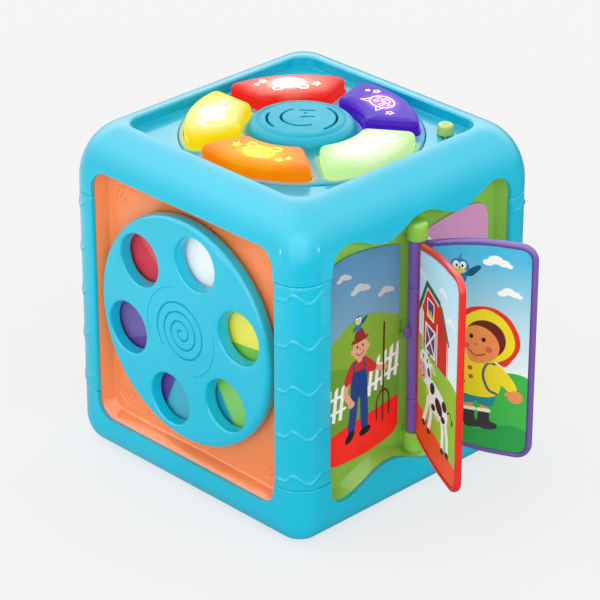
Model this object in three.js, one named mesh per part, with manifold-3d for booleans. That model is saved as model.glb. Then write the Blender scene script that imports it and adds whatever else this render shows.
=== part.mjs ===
// Activity cube with a shape-sorting side: light-up keys on top, a turning window wheel, a flip book,
// a sorting panel with three blocks, and a door to the block bin. Millimetres, +Z up.
// Origin: centre of the underside. Front (-Y) is the wheel, right (+X) the book,
// back (+Y) the sorting panel, left (-X) the door.
import * as THREE from 'three';
import { mergeVertices } from 'three/addons/utils/BufferGeometryUtils.js';
import Module from 'manifold-3d';

const wasm = await Module();
wasm.setup();

// ---------- driving dimensions ----------
const HALF = 100; // half the width of the cube
const HEIGHT = 214;
const CORNER = 18; // radius of the upright corners
const SHOULDER_REACH = 22.3; // the big rounding of the top edges, measured inwards
const SHOULDER_DROP = 36; // and downwards
const SHOULDER_TAPER = 0.3; // how fast the corners tighten over the shoulder
const FOOT_REACH = 12; // rounding of the bottom edges, measured inwards
const FOOT_RISE = 18; // and upwards
const WALL = 2.6;
const GAP = 0.3; // clearance between neighbouring pieces
const SEAM_LOW = 38; // joint between base and posts
const SEAM_HIGH = 172; // joint between posts and top cover

const WINDOW_HALF = 78; // side openings
const WINDOW_LOW = 22.5;
const WINDOW_HIGH = 190;
const WINDOW_CORNER = 12;

const WAVE_LEFT = -73.5; // scalloped opening of the book side
const WAVE_RIGHT = 77;
const WAVE_TOP = { mean: 184.3, swing: 4.6, crest: 2, period: 62, corner: 13 };
const WAVE_LOW = { mean: 27, swing: 5.8, crest: -24, period: 77, corner: 10 };

const TRAY_LIP = -3; // depths below the face of the cube
const TRAY_FLOOR = -11.5;
const TRAY_BACK = -14;
const TRAY_SLOPE = 3.8;
const FLANGE = 2.5; // how far the trays reach past their openings

const SCREW_PLACE = 83; // the four base screws, from the middle
const SCREW_SHANK = 1.3;
const SCREW_HEAD = 2.9;
const SCREW_SEAT = 5.6; // height of the underside of the head
const SCREW_LENGTH = 50;
const BOSS = 4;

// ---------- colours ----------
const COLOURS = {
  blue: 0x35bfe0,
  orange: 0xf98a4e,
  green: 0x92cf4e,
  purple: 0x7d58b4,
  red: 0xf0321e,
  yellow: 0xf7dc3a,
  keyRed: 0xf02a26,
  keyPurple: 0x5a35d8,
  keyGreen: 0xb0ff6a,
  keyOrange: 0xff8a10,
  keyYellow: 0xffe53a,
  print: 0xf4f4f0,
  board: 0x1f6b45,
  steel: 0xb8bcc2,
  black: 0x1c1c1f,
  silicone: 0xdfe3e6,
};
function plastic(name, roughness = 0.35, metalness = 0) {
  return new THREE.MeshStandardMaterial({ color: COLOURS[name], roughness, metalness });
}

// ---------- solid helpers ----------
function solidOf(geometry) {
  const bare = geometry.clone();
  bare.deleteAttribute('normal');
  bare.deleteAttribute('uv');
  const merged = mergeVertices(bare, 1e-4);
  return new wasm.Manifold(
    new wasm.Mesh({
      numProp: 3,
      vertProperties: new Float32Array(merged.attributes.position.array),
      triVerts: new Uint32Array(merged.index.array),
    }),
  );
}

function geometryOf(solid) {
  const mesh = solid.getMesh();
  const geometry = new THREE.BufferGeometry();
  geometry.setAttribute('position', new THREE.BufferAttribute(new Float32Array(mesh.vertProperties), 3));
  geometry.setIndex(new THREE.BufferAttribute(new Uint32Array(mesh.triVerts), 1));
  return geometry;
}

function joined(...solids) {
  return solids.reduce((whole, next) => whole.add(next));
}

function cut(solid, ...tools) {
  return tools.reduce((rest, tool) => rest.subtract(tool), solid);
}

// A closed solid through a stack of rings [z, points], all with the same number of points.
function loft(sections) {
  const count = sections[0][1].length;
  const positions = [];
  const indices = [];
  for (const [z, ring] of sections) {
    for (const [x, y] of ring) positions.push(x, y, z);
  }
  for (let level = 0; level + 1 < sections.length; level++) {
    for (let i = 0; i < count; i++) {
      const a = level * count + i;
      const b = level * count + ((i + 1) % count);
      indices.push(a, b, b + count, a, b + count, a + count);
    }
  }
  const caps = THREE.ShapeUtils.triangulateShape(
    sections[0][1].map(([x, y]) => new THREE.Vector2(x, y)),
    [],
  );
  const top = THREE.ShapeUtils.triangulateShape(
    sections.at(-1)[1].map(([x, y]) => new THREE.Vector2(x, y)),
    [],
  );
  const last = (sections.length - 1) * count;
  for (const [a, b, c] of caps) indices.push(c, b, a);
  for (const [a, b, c] of top) indices.push(last + a, last + b, last + c);
  const geometry = new THREE.BufferGeometry();
  geometry.setAttribute('position', new THREE.Float32BufferAttribute(positions, 3));
  geometry.setIndex(indices);
  return solidOf(geometry);
}

function box(x0, x1, y0, y1, z0, z1) {
  const geometry = new THREE.BoxGeometry(x1 - x0, y1 - y0, z1 - z0);
  geometry.translate((x0 + x1) / 2, (y0 + y1) / 2, (z0 + z1) / 2);
  return solidOf(geometry);
}

// An upright cylinder or cone.
function drum(x, y, z0, z1, low, high = low, sides = 16) {
  const geometry = new THREE.CylinderGeometry(high, low, z1 - z0, sides);
  geometry.rotateX(Math.PI / 2);
  geometry.translate(x, y, (z0 + z1) / 2);
  return solidOf(geometry);
}

// A solid of revolution about Z from a profile of [radius, z] that starts and ends on the axis.
function turned(profile, sides = 24) {
  const points = profile.map(([r, z]) => new THREE.Vector2(r, z));
  const geometry = new THREE.LatheGeometry(points, sides);
  geometry.rotateX(Math.PI / 2);
  return solidOf(geometry);
}

// ---------- outlines, counter-clockwise ----------
function arc(cx, cy, radius, from, to, steps) {
  return Array.from({ length: steps + 1 }, (_, i) => {
    const angle = from + ((to - from) * i) / steps;
    return [cx + radius * Math.cos(angle), cy + radius * Math.sin(angle)];
  });
}

function roundedRectangle(x0, x1, y0, y1, radius, steps = 4) {
  const quarter = Math.PI / 2;
  return [
    ...arc(x1 - radius, y0 + radius, radius, -quarter, 0, steps),
    ...arc(x1 - radius, y1 - radius, radius, 0, quarter, steps),
    ...arc(x0 + radius, y1 - radius, radius, quarter, 2 * quarter, steps),
    ...arc(x0 + radius, y0 + radius, radius, 2 * quarter, 3 * quarter, steps),
  ];
}

function plainWindow(inset) {
  return roundedRectangle(
    -WINDOW_HALF + inset,
    WINDOW_HALF - inset,
    WINDOW_LOW + inset,
    WINDOW_HIGH - inset,
    WINDOW_CORNER - inset,
  );
}

function waveHeight(wave, u) {
  return wave.mean + wave.swing * Math.cos((2 * Math.PI * (u - wave.crest)) / wave.period);
}

function wavyWindow(inset) {
  const quarter = Math.PI / 2;
  const between = (wave, steps) => {
    const from = WAVE_LEFT + wave.corner;
    const to = WAVE_RIGHT - wave.corner;
    return Array.from({ length: steps - 1 }, (_, i) => from + ((to - from) * (i + 1)) / steps);
  };
  const corner = (wave, sideways, upwards, start) => {
    const x = sideways > 0 ? WAVE_RIGHT - wave.corner : WAVE_LEFT + wave.corner;
    const y = waveHeight(wave, x) - upwards * wave.corner;
    return arc(x, y, wave.corner - inset, start, start + quarter, 4);
  };
  return [
    ...between(WAVE_LOW, 20).map((u) => [u, waveHeight(WAVE_LOW, u) + inset]),
    ...corner(WAVE_LOW, 1, -1, -quarter),
    ...corner(WAVE_TOP, 1, 1, 0),
    ...between(WAVE_TOP, 20).reverse().map((u) => [u, waveHeight(WAVE_TOP, u) - inset]),
    ...corner(WAVE_TOP, -1, 1, quarter),
    ...corner(WAVE_LOW, -1, -1, 2 * quarter),
  ];
}

function square(half, radius) {
  return roundedRectangle(-half, half, -half, half, radius);
}

// ---------- the scene graph ----------
const cube = new THREE.Group();

function place(parent, name, solid, material) {
  const mesh = new THREE.Mesh(geometryOf(solid), material);
  mesh.name = name;
  parent.add(mesh);
  return mesh;
}

// A side of the cube, seen from outside: x runs right, y up, z outwards from the face.
function side(turn) {
  const group = new THREE.Group();
  group.rotation.set(Math.PI / 2, 0, turn, 'ZXY');
  group.position.set(HALF * Math.sin(turn), -HALF * Math.cos(turn), 0);
  cube.add(group);
  return group;
}
const front = side(0);
const right = side(Math.PI / 2);
const back = side(Math.PI);
const left = side(-Math.PI / 2);

// The same solid turned into the frame of the cube, for cutting the housing.
function facing(solid, group) {
  group.updateMatrixWorld(true);
  return solidOf(geometryOf(solid).applyMatrix4(group.matrixWorld));
}

// ---------- housing ----------
// One rounded edge as [distance from the end, pull inwards], from the flat end to the upright wall.
function roundedEdge(reach, rise, inset, steps) {
  return Array.from({ length: steps + 1 }, (_, i) => {
    const angle = ((Math.PI / 2) * i) / steps;
    return [inset + (rise - inset) * (1 - Math.cos(angle)), inset + (reach - inset) * (1 - Math.sin(angle))];
  });
}

// Rounded block whose outside is pulled in by inset everywhere.
function block(inset) {
  const lower = roundedEdge(FOOT_REACH, FOOT_RISE, inset, 4);
  const upper = roundedEdge(SHOULDER_REACH, SHOULDER_DROP, inset, 7).reverse();
  return loft([
    ...lower.map(([z, pull]) => [z, square(HALF - pull, CORNER - pull)]),
    ...upper.map(([z, pull]) => [HEIGHT - z, square(HALF - pull, CORNER - SHOULDER_TAPER * pull)]),
  ]);
}

function housing() {
  const opening = (ring) => loft([[-2 * CORNER, ring], [1, ring]]);
  return cut(
    block(0),
    block(WALL),
    facing(opening(plainWindow(0)), front),
    facing(opening(wavyWindow(0)), right),
    facing(opening(plainWindow(0)), back),
    facing(opening(plainWindow(0)), left),
  );
}

function corners(make) {
  const signs = [[-1, -1], [1, -1], [-1, 1], [1, 1]];
  return signs.map(([sx, sy]) => make(sx * SCREW_PLACE, sy * SCREW_PLACE, sx, sy));
}

// A screw boss tied to the corner of the housing by a web that starts at webLow.
function boss(x, y, sx, sy, z0, z1, webLow = z0) {
  const reach = 12;
  const web = new THREE.BoxGeometry(reach, 2, z1 - webLow);
  web.rotateZ((sx * sy * Math.PI) / 4);
  web.translate(x + sx * 5.66, y + sy * 5.66, (webLow + z1) / 2);
  return joined(drum(x, y, z0, z1, BOSS, BOSS, 12), solidOf(web));
}

const RECESS_HALF = 75.5; // sunken square of the top
const RECESS_CORNER = 12;
const RECESS_FLOOR = 207;
const DECK_RADIUS = 73.6;
const DECK_LOW = 204.4;
const DECK_TOP = 208;
const SWITCH_AT = 60.5; // along both axes
const SWITCH_TRAVEL = 6;

function tangentBox(length, width, z0, z1) {
  const geometry = new THREE.BoxGeometry(length, width, z1 - z0);
  geometry.rotateZ((3 * Math.PI) / 4);
  geometry.translate(SWITCH_AT, SWITCH_AT, (z0 + z1) / 2);
  return solidOf(geometry);
}

function buildHousing() {
  const shell = housing();
  const band = (z0, z1) => box(-HALF - 1, HALF + 1, -HALF - 1, HALF + 1, z0, z1);
  const blue = plastic('blue');

  const tub = loft([
    [DECK_LOW, square(RECESS_HALF + WALL, RECESS_CORNER + WALL)],
    [HEIGHT - WALL / 2, square(RECESS_HALF + WALL, RECESS_CORNER + WALL)],
  ]);
  const pocket = loft([
    [RECESS_FLOOR, square(RECESS_HALF - 1, RECESS_CORNER - 1)],
    [HEIGHT + 1, square(RECESS_HALF + 0.4, RECESS_CORNER + 0.4)],
  ]);
  const flangeSpace = (ringAt, group) => {
    const ring = ringAt(-FLANGE - GAP);
    return facing(loft([[TRAY_BACK, ring], [TRAY_LIP + GAP, ring]]), group);
  };
  const top = cut(
    joined(shell.intersect(band(SEAM_HIGH, HEIGHT + 1)), tub),
    pocket,
    flangeSpace(plainWindow, front),
    flangeSpace(wavyWindow, right),
    flangeSpace(plainWindow, back),
    flangeSpace(plainWindow, left),
    drum(0, 0, DECK_LOW - 1, HEIGHT, DECK_RADIUS + GAP, DECK_RADIUS + GAP, 48),
    tangentBox(2 * SWITCH_TRAVEL + 8, 5, DECK_LOW - 1, RECESS_FLOOR + 1),
  );
  place(cube, 'top_cover', top, blue);

  const names = ['front_left', 'front_right', 'back_left', 'back_right'];
  const post = shell.intersect(band(SEAM_LOW + GAP, SEAM_HIGH - GAP));
  corners((x, y, sx, sy) => {
    const z0 = SEAM_LOW + GAP;
    const near = box(Math.min(0, sx * 110), Math.max(0, sx * 110), Math.min(0, sy * 110),
      Math.max(0, sy * 110), 0, HEIGHT);
    const piece = cut(
      joined(post.intersect(near), boss(x, y, sx, sy, z0, SEAM_HIGH - GAP)),
      drum(x, y, z0 - 1, z0 + 26, SCREW_SHANK + 0.2, SCREW_SHANK + 0.2, 12),
    );
    place(cube, `corner_post_${names.shift()}`, piece, blue);
  });

  const base = joined(
    shell.intersect(band(-1, SEAM_LOW)),
    ...corners((x, y, sx, sy) => boss(x, y, sx, sy, WALL / 2, SEAM_LOW, FOOT_RISE)),
    box(BATTERY.x0 - 2, BATTERY.x1 + 2, BATTERY.y0 - 2, BATTERY.y1 + 2, WALL / 2, BATTERY.roof + 2),
    box(-48, -32, BATTERY.y1, DOOR_END + 2, WALL / 2, 15),
  );
  place(
    cube,
    'base_cover',
    cut(
      base,
      box(BATTERY.x0, BATTERY.x1, BATTERY.y0, BATTERY.y1, -1, BATTERY.roof),
      box(BATTERY.x0, BATTERY.x1, BATTERY.y1 - 1, DOOR_END, -1, DOOR_TOP + GAP),
      drum(BATTERY.mid, DOOR_SCREW, 0, 13, 1.25, 1.25, 12),
      ...corners((x, y) =>
        joined(
          drum(x, y, -1, 6, SCREW_HEAD + GAP, SCREW_HEAD + GAP, 16),
          drum(x, y, 5, SEAM_LOW + 1, SCREW_SHANK + 0.3, SCREW_SHANK + 0.3, 12),
        ),
      ),
    ),
    blue,
  );

  const labels = ['front_left', 'front_right', 'back_left', 'back_right'];
  corners((x, y) => {
    const fastener = screw(x, y, SCREW_SEAT, SCREW_LENGTH);
    place(cube, `base_screw_${labels.shift()}`, fastener, plastic('steel', 0.3, 1));
  });
}

// Slotted pan-head screw, driven in from below.
function screw(x, y, seat, length) {
  const headHeight = 2.2;
  const under = seat - headHeight;
  const slot = box(x - SCREW_HEAD, x + SCREW_HEAD, y - 0.4, y + 0.4, under - 1, under + 0.8);
  const head = cut(drum(x, y, seat - headHeight, seat, SCREW_HEAD, SCREW_HEAD, 16), slot);
  return joined(head, drum(x, y, seat - 0.5, seat + length, SCREW_SHANK, SCREW_SHANK, 10));
}

// ---------- battery compartment ----------
const BATTERY = {
  x0: -66, x1: -14, y0: -28, y1: 28, roof: 20, // the room
  radius: 7.1, length: 50, mid: -40, pitch: 15.6, axis: 12.2, // the cells
};
const DOOR_END = 40;
const DOOR_TOP = 2.6;
const DOOR_SCREW = 36;

function buildBatteries() {
  const door = cut(
    joined(
      box(BATTERY.x0 + 0.4, BATTERY.x1 - 0.4, BATTERY.y0 + 0.4, DOOR_END - 0.4, 0.4, DOOR_TOP),
      box(BATTERY.mid - 12, BATTERY.mid + 12, -20, 20, DOOR_TOP - 1, DOOR_TOP + 0.8),
    ),
    drum(BATTERY.mid, DOOR_SCREW, -1, 1.7, 2.7, 2.7, 16),
    drum(BATTERY.mid, DOOR_SCREW, -1, 5, 1.4, 1.4, 12),
    ...[-24, -18, -12].map((y) => box(BATTERY.mid - 8, BATTERY.mid + 8, y, y + 2.4, 0, 1)),
  );
  place(cube, 'battery_door', door, plastic('blue'));
  place(
    cube,
    'battery_door_screw',
    joined(
      drum(BATTERY.mid, DOOR_SCREW, 0.5, 1.6, 2.5, 2.5, 16),
      drum(BATTERY.mid, DOOR_SCREW, 1, 11, 1, 1, 10),
    ),
    plastic('steel', 0.3, 1),
  );
  [-1, 0, 1].forEach((step, i) => {
    const cell = turned([
      [0, -BATTERY.length / 2],
      [BATTERY.radius, -BATTERY.length / 2],
      [BATTERY.radius, BATTERY.length / 2 - 1.4],
      [2.6, BATTERY.length / 2 - 1.4],
      [2.6, BATTERY.length / 2],
      [0, BATTERY.length / 2],
    ], 20);
    const mesh = place(cube, `battery_${i + 1}`, cell, plastic('black', 0.3, 0.4));
    mesh.rotation.x = i % 2 ? Math.PI / 2 : -Math.PI / 2;
    mesh.position.set(BATTERY.mid + step * BATTERY.pitch, 0, BATTERY.axis);
  });
  for (const [name, sense] of [['battery_contact_front', -1], ['battery_contact_back', 1]]) {
    const face = sense * (BATTERY.y1 - GAP);
    const plate = box(BATTERY.x0 + 2, BATTERY.x1 - 2, Math.min(face, face - sense * 0.6),
      Math.max(face, face - sense * 0.6), 5.5, BATTERY.roof - 1);
    const studs = [-1, 0, 1].map((step) => {
      const stud = new THREE.CylinderGeometry(2.2, 2.2, 2, 8);
      stud.translate(BATTERY.mid + step * BATTERY.pitch, face - sense * 1.4, BATTERY.axis);
      return solidOf(stud);
    });
    place(cube, name, joined(plate, ...studs), plastic('steel', 0.3, 1));
  }
}

// ---------- trays behind the side openings ----------
function tray(ringAt) {
  const body = joined(
    loft([[TRAY_BACK, ringAt(TRAY_SLOPE - 2)], [TRAY_LIP - 2.5, ringAt(0.5 - FLANGE)]]),
    loft([[TRAY_LIP - 2.6, ringAt(-FLANGE)], [TRAY_LIP, ringAt(-FLANGE)]]),
  );
  return cut(body, loft([[TRAY_FLOOR, ringAt(TRAY_SLOPE)], [TRAY_LIP + 1, ringAt(0)]]));
}

// ---------- wheel side ----------
const WHEEL_MID = 109;
const WHEEL_RADIUS = 73;
const WHEEL_FRONT = -1;
const WHEEL_BACK = -9.8;
const HOLES = 6;
const HOLE_RADIUS = 16.2;
const HOLE_CIRCLE = 50.5;
const DISC_RADIUS = 70.5;
const HOLE_START = (16.5 * Math.PI) / 180;
const SHAFT = 6;
const SHAFT_END = -24;

function buildWheelSide() {
  const y = WHEEL_MID;
  const hub = drum(0, y, -22, TRAY_FLOOR, 10.5);
  const panel = cut(joined(tray(plainWindow), hub), drum(0, y, -23, 0, SHAFT + 0.25, SHAFT + 0.25, 24));
  place(front, 'wheel_panel', panel, plastic('orange'));

  const sheet = drum(0, y, -11.2, -10.3, DISC_RADIUS, DISC_RADIUS, 40);
  const disc = cut(sheet, drum(0, y, -12, 0, SHAFT + 1, SHAFT + 1));
  place(front, 'colour_disc', disc, plastic('print', 0.5));

  const rim = 2.2;
  const rings = [
    [WHEEL_BACK, WHEEL_RADIUS - 1],
    [WHEEL_BACK + 1, WHEEL_RADIUS],
    [WHEEL_FRONT - rim, WHEEL_RADIUS],
    [WHEEL_FRONT - rim * 0.3, WHEEL_RADIUS - rim * 0.3],
    [WHEEL_FRONT, WHEEL_RADIUS - rim],
  ];
  const plate = loft(rings.map(([z, r]) => [z, arc(0, y, r, 0, (2 * Math.PI * 47) / 48, 47)]));
  const stub = drum(0, y, SHAFT_END, WHEEL_BACK + 1, SHAFT, SHAFT, 24);
  const shaft = cut(stub, drum(0, y, -25, -14, SCREW_SHANK, SCREW_SHANK, 12));
  const windows = Array.from({ length: HOLES }, (_, i) => {
    const angle = HOLE_START + (i * 2 * Math.PI) / HOLES;
    const cx = HOLE_CIRCLE * Math.cos(angle);
    const cy = y + HOLE_CIRCLE * Math.sin(angle);
    return drum(cx, cy, -12, 1, HOLE_RADIUS, HOLE_RADIUS, 24);
  });
  place(front, 'wheel', cut(joined(plate, shaft), ...windows), plastic('blue'));

  const washer = cut(drum(0, y, SHAFT_END - 1.5, SHAFT_END - GAP, 9), drum(0, y, -40, 0, 2));
  place(front, 'wheel_washer', washer, plastic('steel', 0.3, 1));
  const stop = turned([[0, -28.4], [3.6, -28.4], [3.6, -26], [1.1, -26], [1.1, -15], [0, -15]], 16);
  const fastener = place(front, 'wheel_screw', stop, plastic('steel', 0.3, 1));
  fastener.position.y = y;
}

// ---------- book side ----------
const SPINE = -4; // depth of the hinge axis
const BARREL = 5;
const CAP = 6.4; // radius of the green bosses that hold the pin
const PAGE_LOW = 43.5;
const PAGE_HIGH = 171;
const PAGE_MID = (PAGE_LOW + PAGE_HIGH) / 2;
const PAGE_REACH = 73.5;
const PAGE_BULGE = 7;
const PAGE_ROOT = 6.5;
const PAGE_CORNER = 10;
const PAGE_BEAD = 0.8; // rounding of the rim
const SLEEVE_LOW = 66;
const SLEEVE_HIGH = 140;
const PIN = 1.5;
const LABEL = 0.5; // thickness of the printed sheets
const TAB = { root: 1.5, reach: 9.5, half: 1.6, low: PAGE_MID + 1, high: PAGE_MID + 8 };
const POCKET = { left: -7.2, right: -1.5, margin: 0.8, floor: -13.4, back: -15.2, wall: 1.5 };

// Half of an open book: a sheet whose top and bottom bow outwards towards the free edge.
function pageRing(root, reach, inset) {
  const radius = PAGE_CORNER - inset;
  const steps = 6;
  const rise = (s) => PAGE_BULGE * Math.sin((Math.PI / 2) * Math.min(1, (s - PAGE_ROOT) / 46));
  const low = (s) => PAGE_LOW - rise(s) + inset;
  const high = (s) => PAGE_HIGH + rise(s) - inset;
  const end = reach - inset - radius;
  const start = root + inset;
  const along = Array.from({ length: steps + 1 }, (_, i) => start + ((end - start) * i) / steps);
  return [
    ...along.slice(0, -1).map((s) => [s, low(s)]),
    ...arc(end, low(end) + radius, radius, -Math.PI / 2, 0, 4),
    ...arc(end, high(end) - radius, radius, 0, Math.PI / 2, 4),
    ...along.slice(0, -1).reverse().map((s) => [s, high(s)]),
  ];
}

function page(parent, name, colour, knuckles) {
  const bead = 2.2;
  const core = 0.8;
  const frame = 3.2;
  const outer = pageRing(PAGE_ROOT, PAGE_REACH, 0);
  const inner = pageRing(PAGE_ROOT, PAGE_REACH, frame);
  const crest = pageRing(PAGE_ROOT + 4, PAGE_REACH, PAGE_BEAD);
  const rim = cut(
    joined(
      loft([[-bead + PAGE_BEAD, outer], [bead - PAGE_BEAD, outer]]),
      loft([[-bead, crest], [bead, crest]]),
    ),
    loft([[core, inner], [3, inner]]),
    loft([[-3, inner], [-core, inner]]),
  );
  place(parent, name, knuckles(rim), plastic(colour));
  const sheet = pageRing(PAGE_ROOT, PAGE_REACH, frame + GAP);
  const print = plastic('print', 0.4);
  place(parent, `${name}_front_label`, loft([[core + GAP, sheet], [core + GAP + LABEL, sheet]]), print);
  place(parent, `${name}_back_label`, loft([[-core - GAP - LABEL, sheet], [-core - GAP, sheet]]), print);
}

function upright(radius, y0, y1, sides = 20) {
  const geometry = new THREE.CylinderGeometry(radius, radius, y1 - y0, sides);
  geometry.translate(0, (y0 + y1) / 2, 0);
  return solidOf(geometry);
}

// A hinge group on the spine, turned by angle degrees from pointing straight out of the face.
function hinge(angle) {
  const group = new THREE.Group();
  group.position.z = SPINE;
  group.rotation.y = ((-90 + angle) * Math.PI) / 180;
  right.add(group);
  return group;
}

const RED_ANGLE = -25.5;
const PURPLE_ANGLE = 26;

function buildBookSide() {
  const reach = 3.6;
  const post = (y0, y1) => {
    const geometry = new THREE.CylinderGeometry(CAP, CAP, y1 - y0, 24);
    geometry.translate(0, (y0 + y1) / 2, SPINE);
    return solidOf(geometry);
  };
  const ends = [[29, PAGE_LOW - GAP], [PAGE_HIGH + GAP, 183]];
  const bosses = ends.map(([y0, y1]) =>
    joined(post(y0, y1), box(-reach, reach, y0, y1, TRAY_FLOOR - 1, SPINE)),
  );
  const bore = new THREE.CylinderGeometry(PIN + 0.2, PIN + 0.2, 150, 16);
  bore.translate(0, PAGE_MID, SPINE);
  // The tab on the spine swings through a shallow pocket in the floor of the tray.
  const pocketLow = TAB.low - POCKET.margin;
  const pocketHigh = TAB.high + POCKET.margin;
  const pocket = box(POCKET.left, POCKET.right, pocketLow, pocketHigh, POCKET.floor, SPINE);
  const backing = box(POCKET.left - POCKET.wall, POCKET.right + POCKET.wall, pocketLow - POCKET.wall,
    pocketHigh + POCKET.wall, POCKET.back, TRAY_BACK + 1);
  const panel = cut(joined(tray(wavyWindow), backing, ...bosses), solidOf(bore), pocket);
  place(right, 'book_panel', panel, plastic('green'));

  const sheetLow = 40;
  const sheetHigh = 166;
  for (const [name, sign] of [['farm_label', -1], ['path_label', 1]]) {
    const x0 = sign < 0 ? -68.5 : 7.5;
    const ring = roundedRectangle(x0, x0 + 61, sheetLow, sheetHigh, 6);
    const plate = loft([[TRAY_FLOOR + GAP, ring], [TRAY_FLOOR + GAP + LABEL, ring]]);
    place(right, name, plate, plastic('print', 0.5));
  }

  const bore2 = upright(PIN + 0.25, PAGE_LOW - 5, PAGE_HIGH + 5, 16);
  const web = (y0, y1) => box(0, PAGE_ROOT + 2, y0, y1, -1.4, 1.4);
  const purple = hinge(PURPLE_ANGLE);
  page(purple, 'purple_page', 'purple', (rim) => {
    const spans = [[PAGE_LOW, SLEEVE_LOW - GAP], [SLEEVE_HIGH + GAP, PAGE_HIGH]];
    return cut(joined(rim, ...spans.flatMap(([y0, y1]) => [upright(BARREL, y0, y1), web(y0, y1)])), bore2);
  });
  const red = hinge(RED_ANGLE);
  const tongue = { root: 3, low: SLEEVE_LOW + 4, high: SLEEVE_HIGH - 4, half: 1.2 };
  const slot = box(tongue.root - GAP, BARREL + 1, tongue.low - GAP, tongue.high + GAP, -tongue.half - GAP,
    tongue.half + GAP);
  page(red, 'red_page', 'red', (rim) =>
    joined(rim, box(tongue.root, PAGE_ROOT + 2, tongue.low, tongue.high, -tongue.half, tongue.half)),
  );
  const tab = new THREE.BoxGeometry(TAB.reach - TAB.root, TAB.high - TAB.low, 2 * TAB.half);
  tab.translate((TAB.reach + TAB.root) / 2, (TAB.high + TAB.low) / 2, 0);
  tab.rotateY(((-90 - RED_ANGLE) * Math.PI) / 180);
  const sleeve = cut(joined(upright(BARREL, SLEEVE_LOW, SLEEVE_HIGH), solidOf(tab)), bore2, slot);
  place(red, 'red_page_sleeve', sleeve, plastic('purple'));

  const pin = place(right, 'page_pin', upright(PIN, 33, 180, 16), plastic('steel', 0.25, 1));
  pin.position.z = SPINE;
}

// ---------- top: keys, deck, electronics ----------
const KEY_NAMES = ['key_green', 'key_purple', 'key_red', 'key_yellow', 'key_orange'];
const KEY_COLOURS = ['keyGreen', 'keyPurple', 'keyRed', 'keyYellow', 'keyOrange'];
const KEY_INNER = 37;
const KEY_OUTER = 70.5;
const KEY_TOP = 217;
const KEY_SPACE = 8; // between neighbouring keys

// Outline of a key centred on +X, grown by grow, with rounded corners.
function keyRing(grow) {
  const inner = KEY_INNER - grow;
  const outer = KEY_OUTER + grow;
  const halfGap = KEY_SPACE / 2 - grow;
  const round = 5;
  const tilt = Math.PI / 5;
  // The end faces run parallel to the ray between two keys, halfGap away from it.
  const corner = (radius) => tilt - Math.asin(halfGap / radius);
  const a = corner(outer - round * 0.3) - round / outer;
  const b = corner(inner + round * 0.3) - round / inner * 0.6;
  const at = (radius, angle) => [radius * Math.cos(angle), radius * Math.sin(angle)];
  const soft = (radius, angle, pull) => at(radius - pull, angle);
  const upper = [
    soft(outer, corner(outer) - 0.03, 1.4),
    soft(outer, corner(outer - 4), 4.5),
    soft(inner, corner(inner + 4), -4),
    soft(inner, corner(inner) - 0.04, -1.2),
  ];
  const lower = upper.map(([x, y]) => [x, -y]).reverse();
  return [
    ...arc(0, 0, outer, -a, a, 8),
    ...upper,
    ...arc(0, 0, inner, b, -b, 5),
    ...lower,
  ];
}

function key(angle, name, colour) {
  const round = 3;
  const sections = [
    [201, keyRing(1.6)],
    [203.6, keyRing(1.6)],
    [203.8, keyRing(-0.4)],
    [KEY_TOP - round, keyRing(-0.4)],
    [KEY_TOP - round * 0.3, keyRing(-0.4 - round * 0.3)],
    [KEY_TOP, keyRing(-0.4 - round)],
  ];
  const hollow = loft([[200, keyRing(-2.4)], [KEY_TOP - 2.4, keyRing(-3.6)]]);
  const solid = joined(cut(loft(sections), hollow), drum(62, 0, 195.7, KEY_TOP - 2, 2.6, 2.6, 10));
  const mesh = place(cube, name, solid, plastic(colour, 0.15));
  mesh.rotation.z = angle;
}

function arcSlot(radius, from, to, width = 2) {
  const outer = arc(0, 0, radius + width / 2, from, to, 6);
  const inner = arc(0, 0, radius - width / 2, to, from, 6);
  return loft([[200, [...outer, ...inner]], [230, [...outer, ...inner]]]);
}

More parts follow.
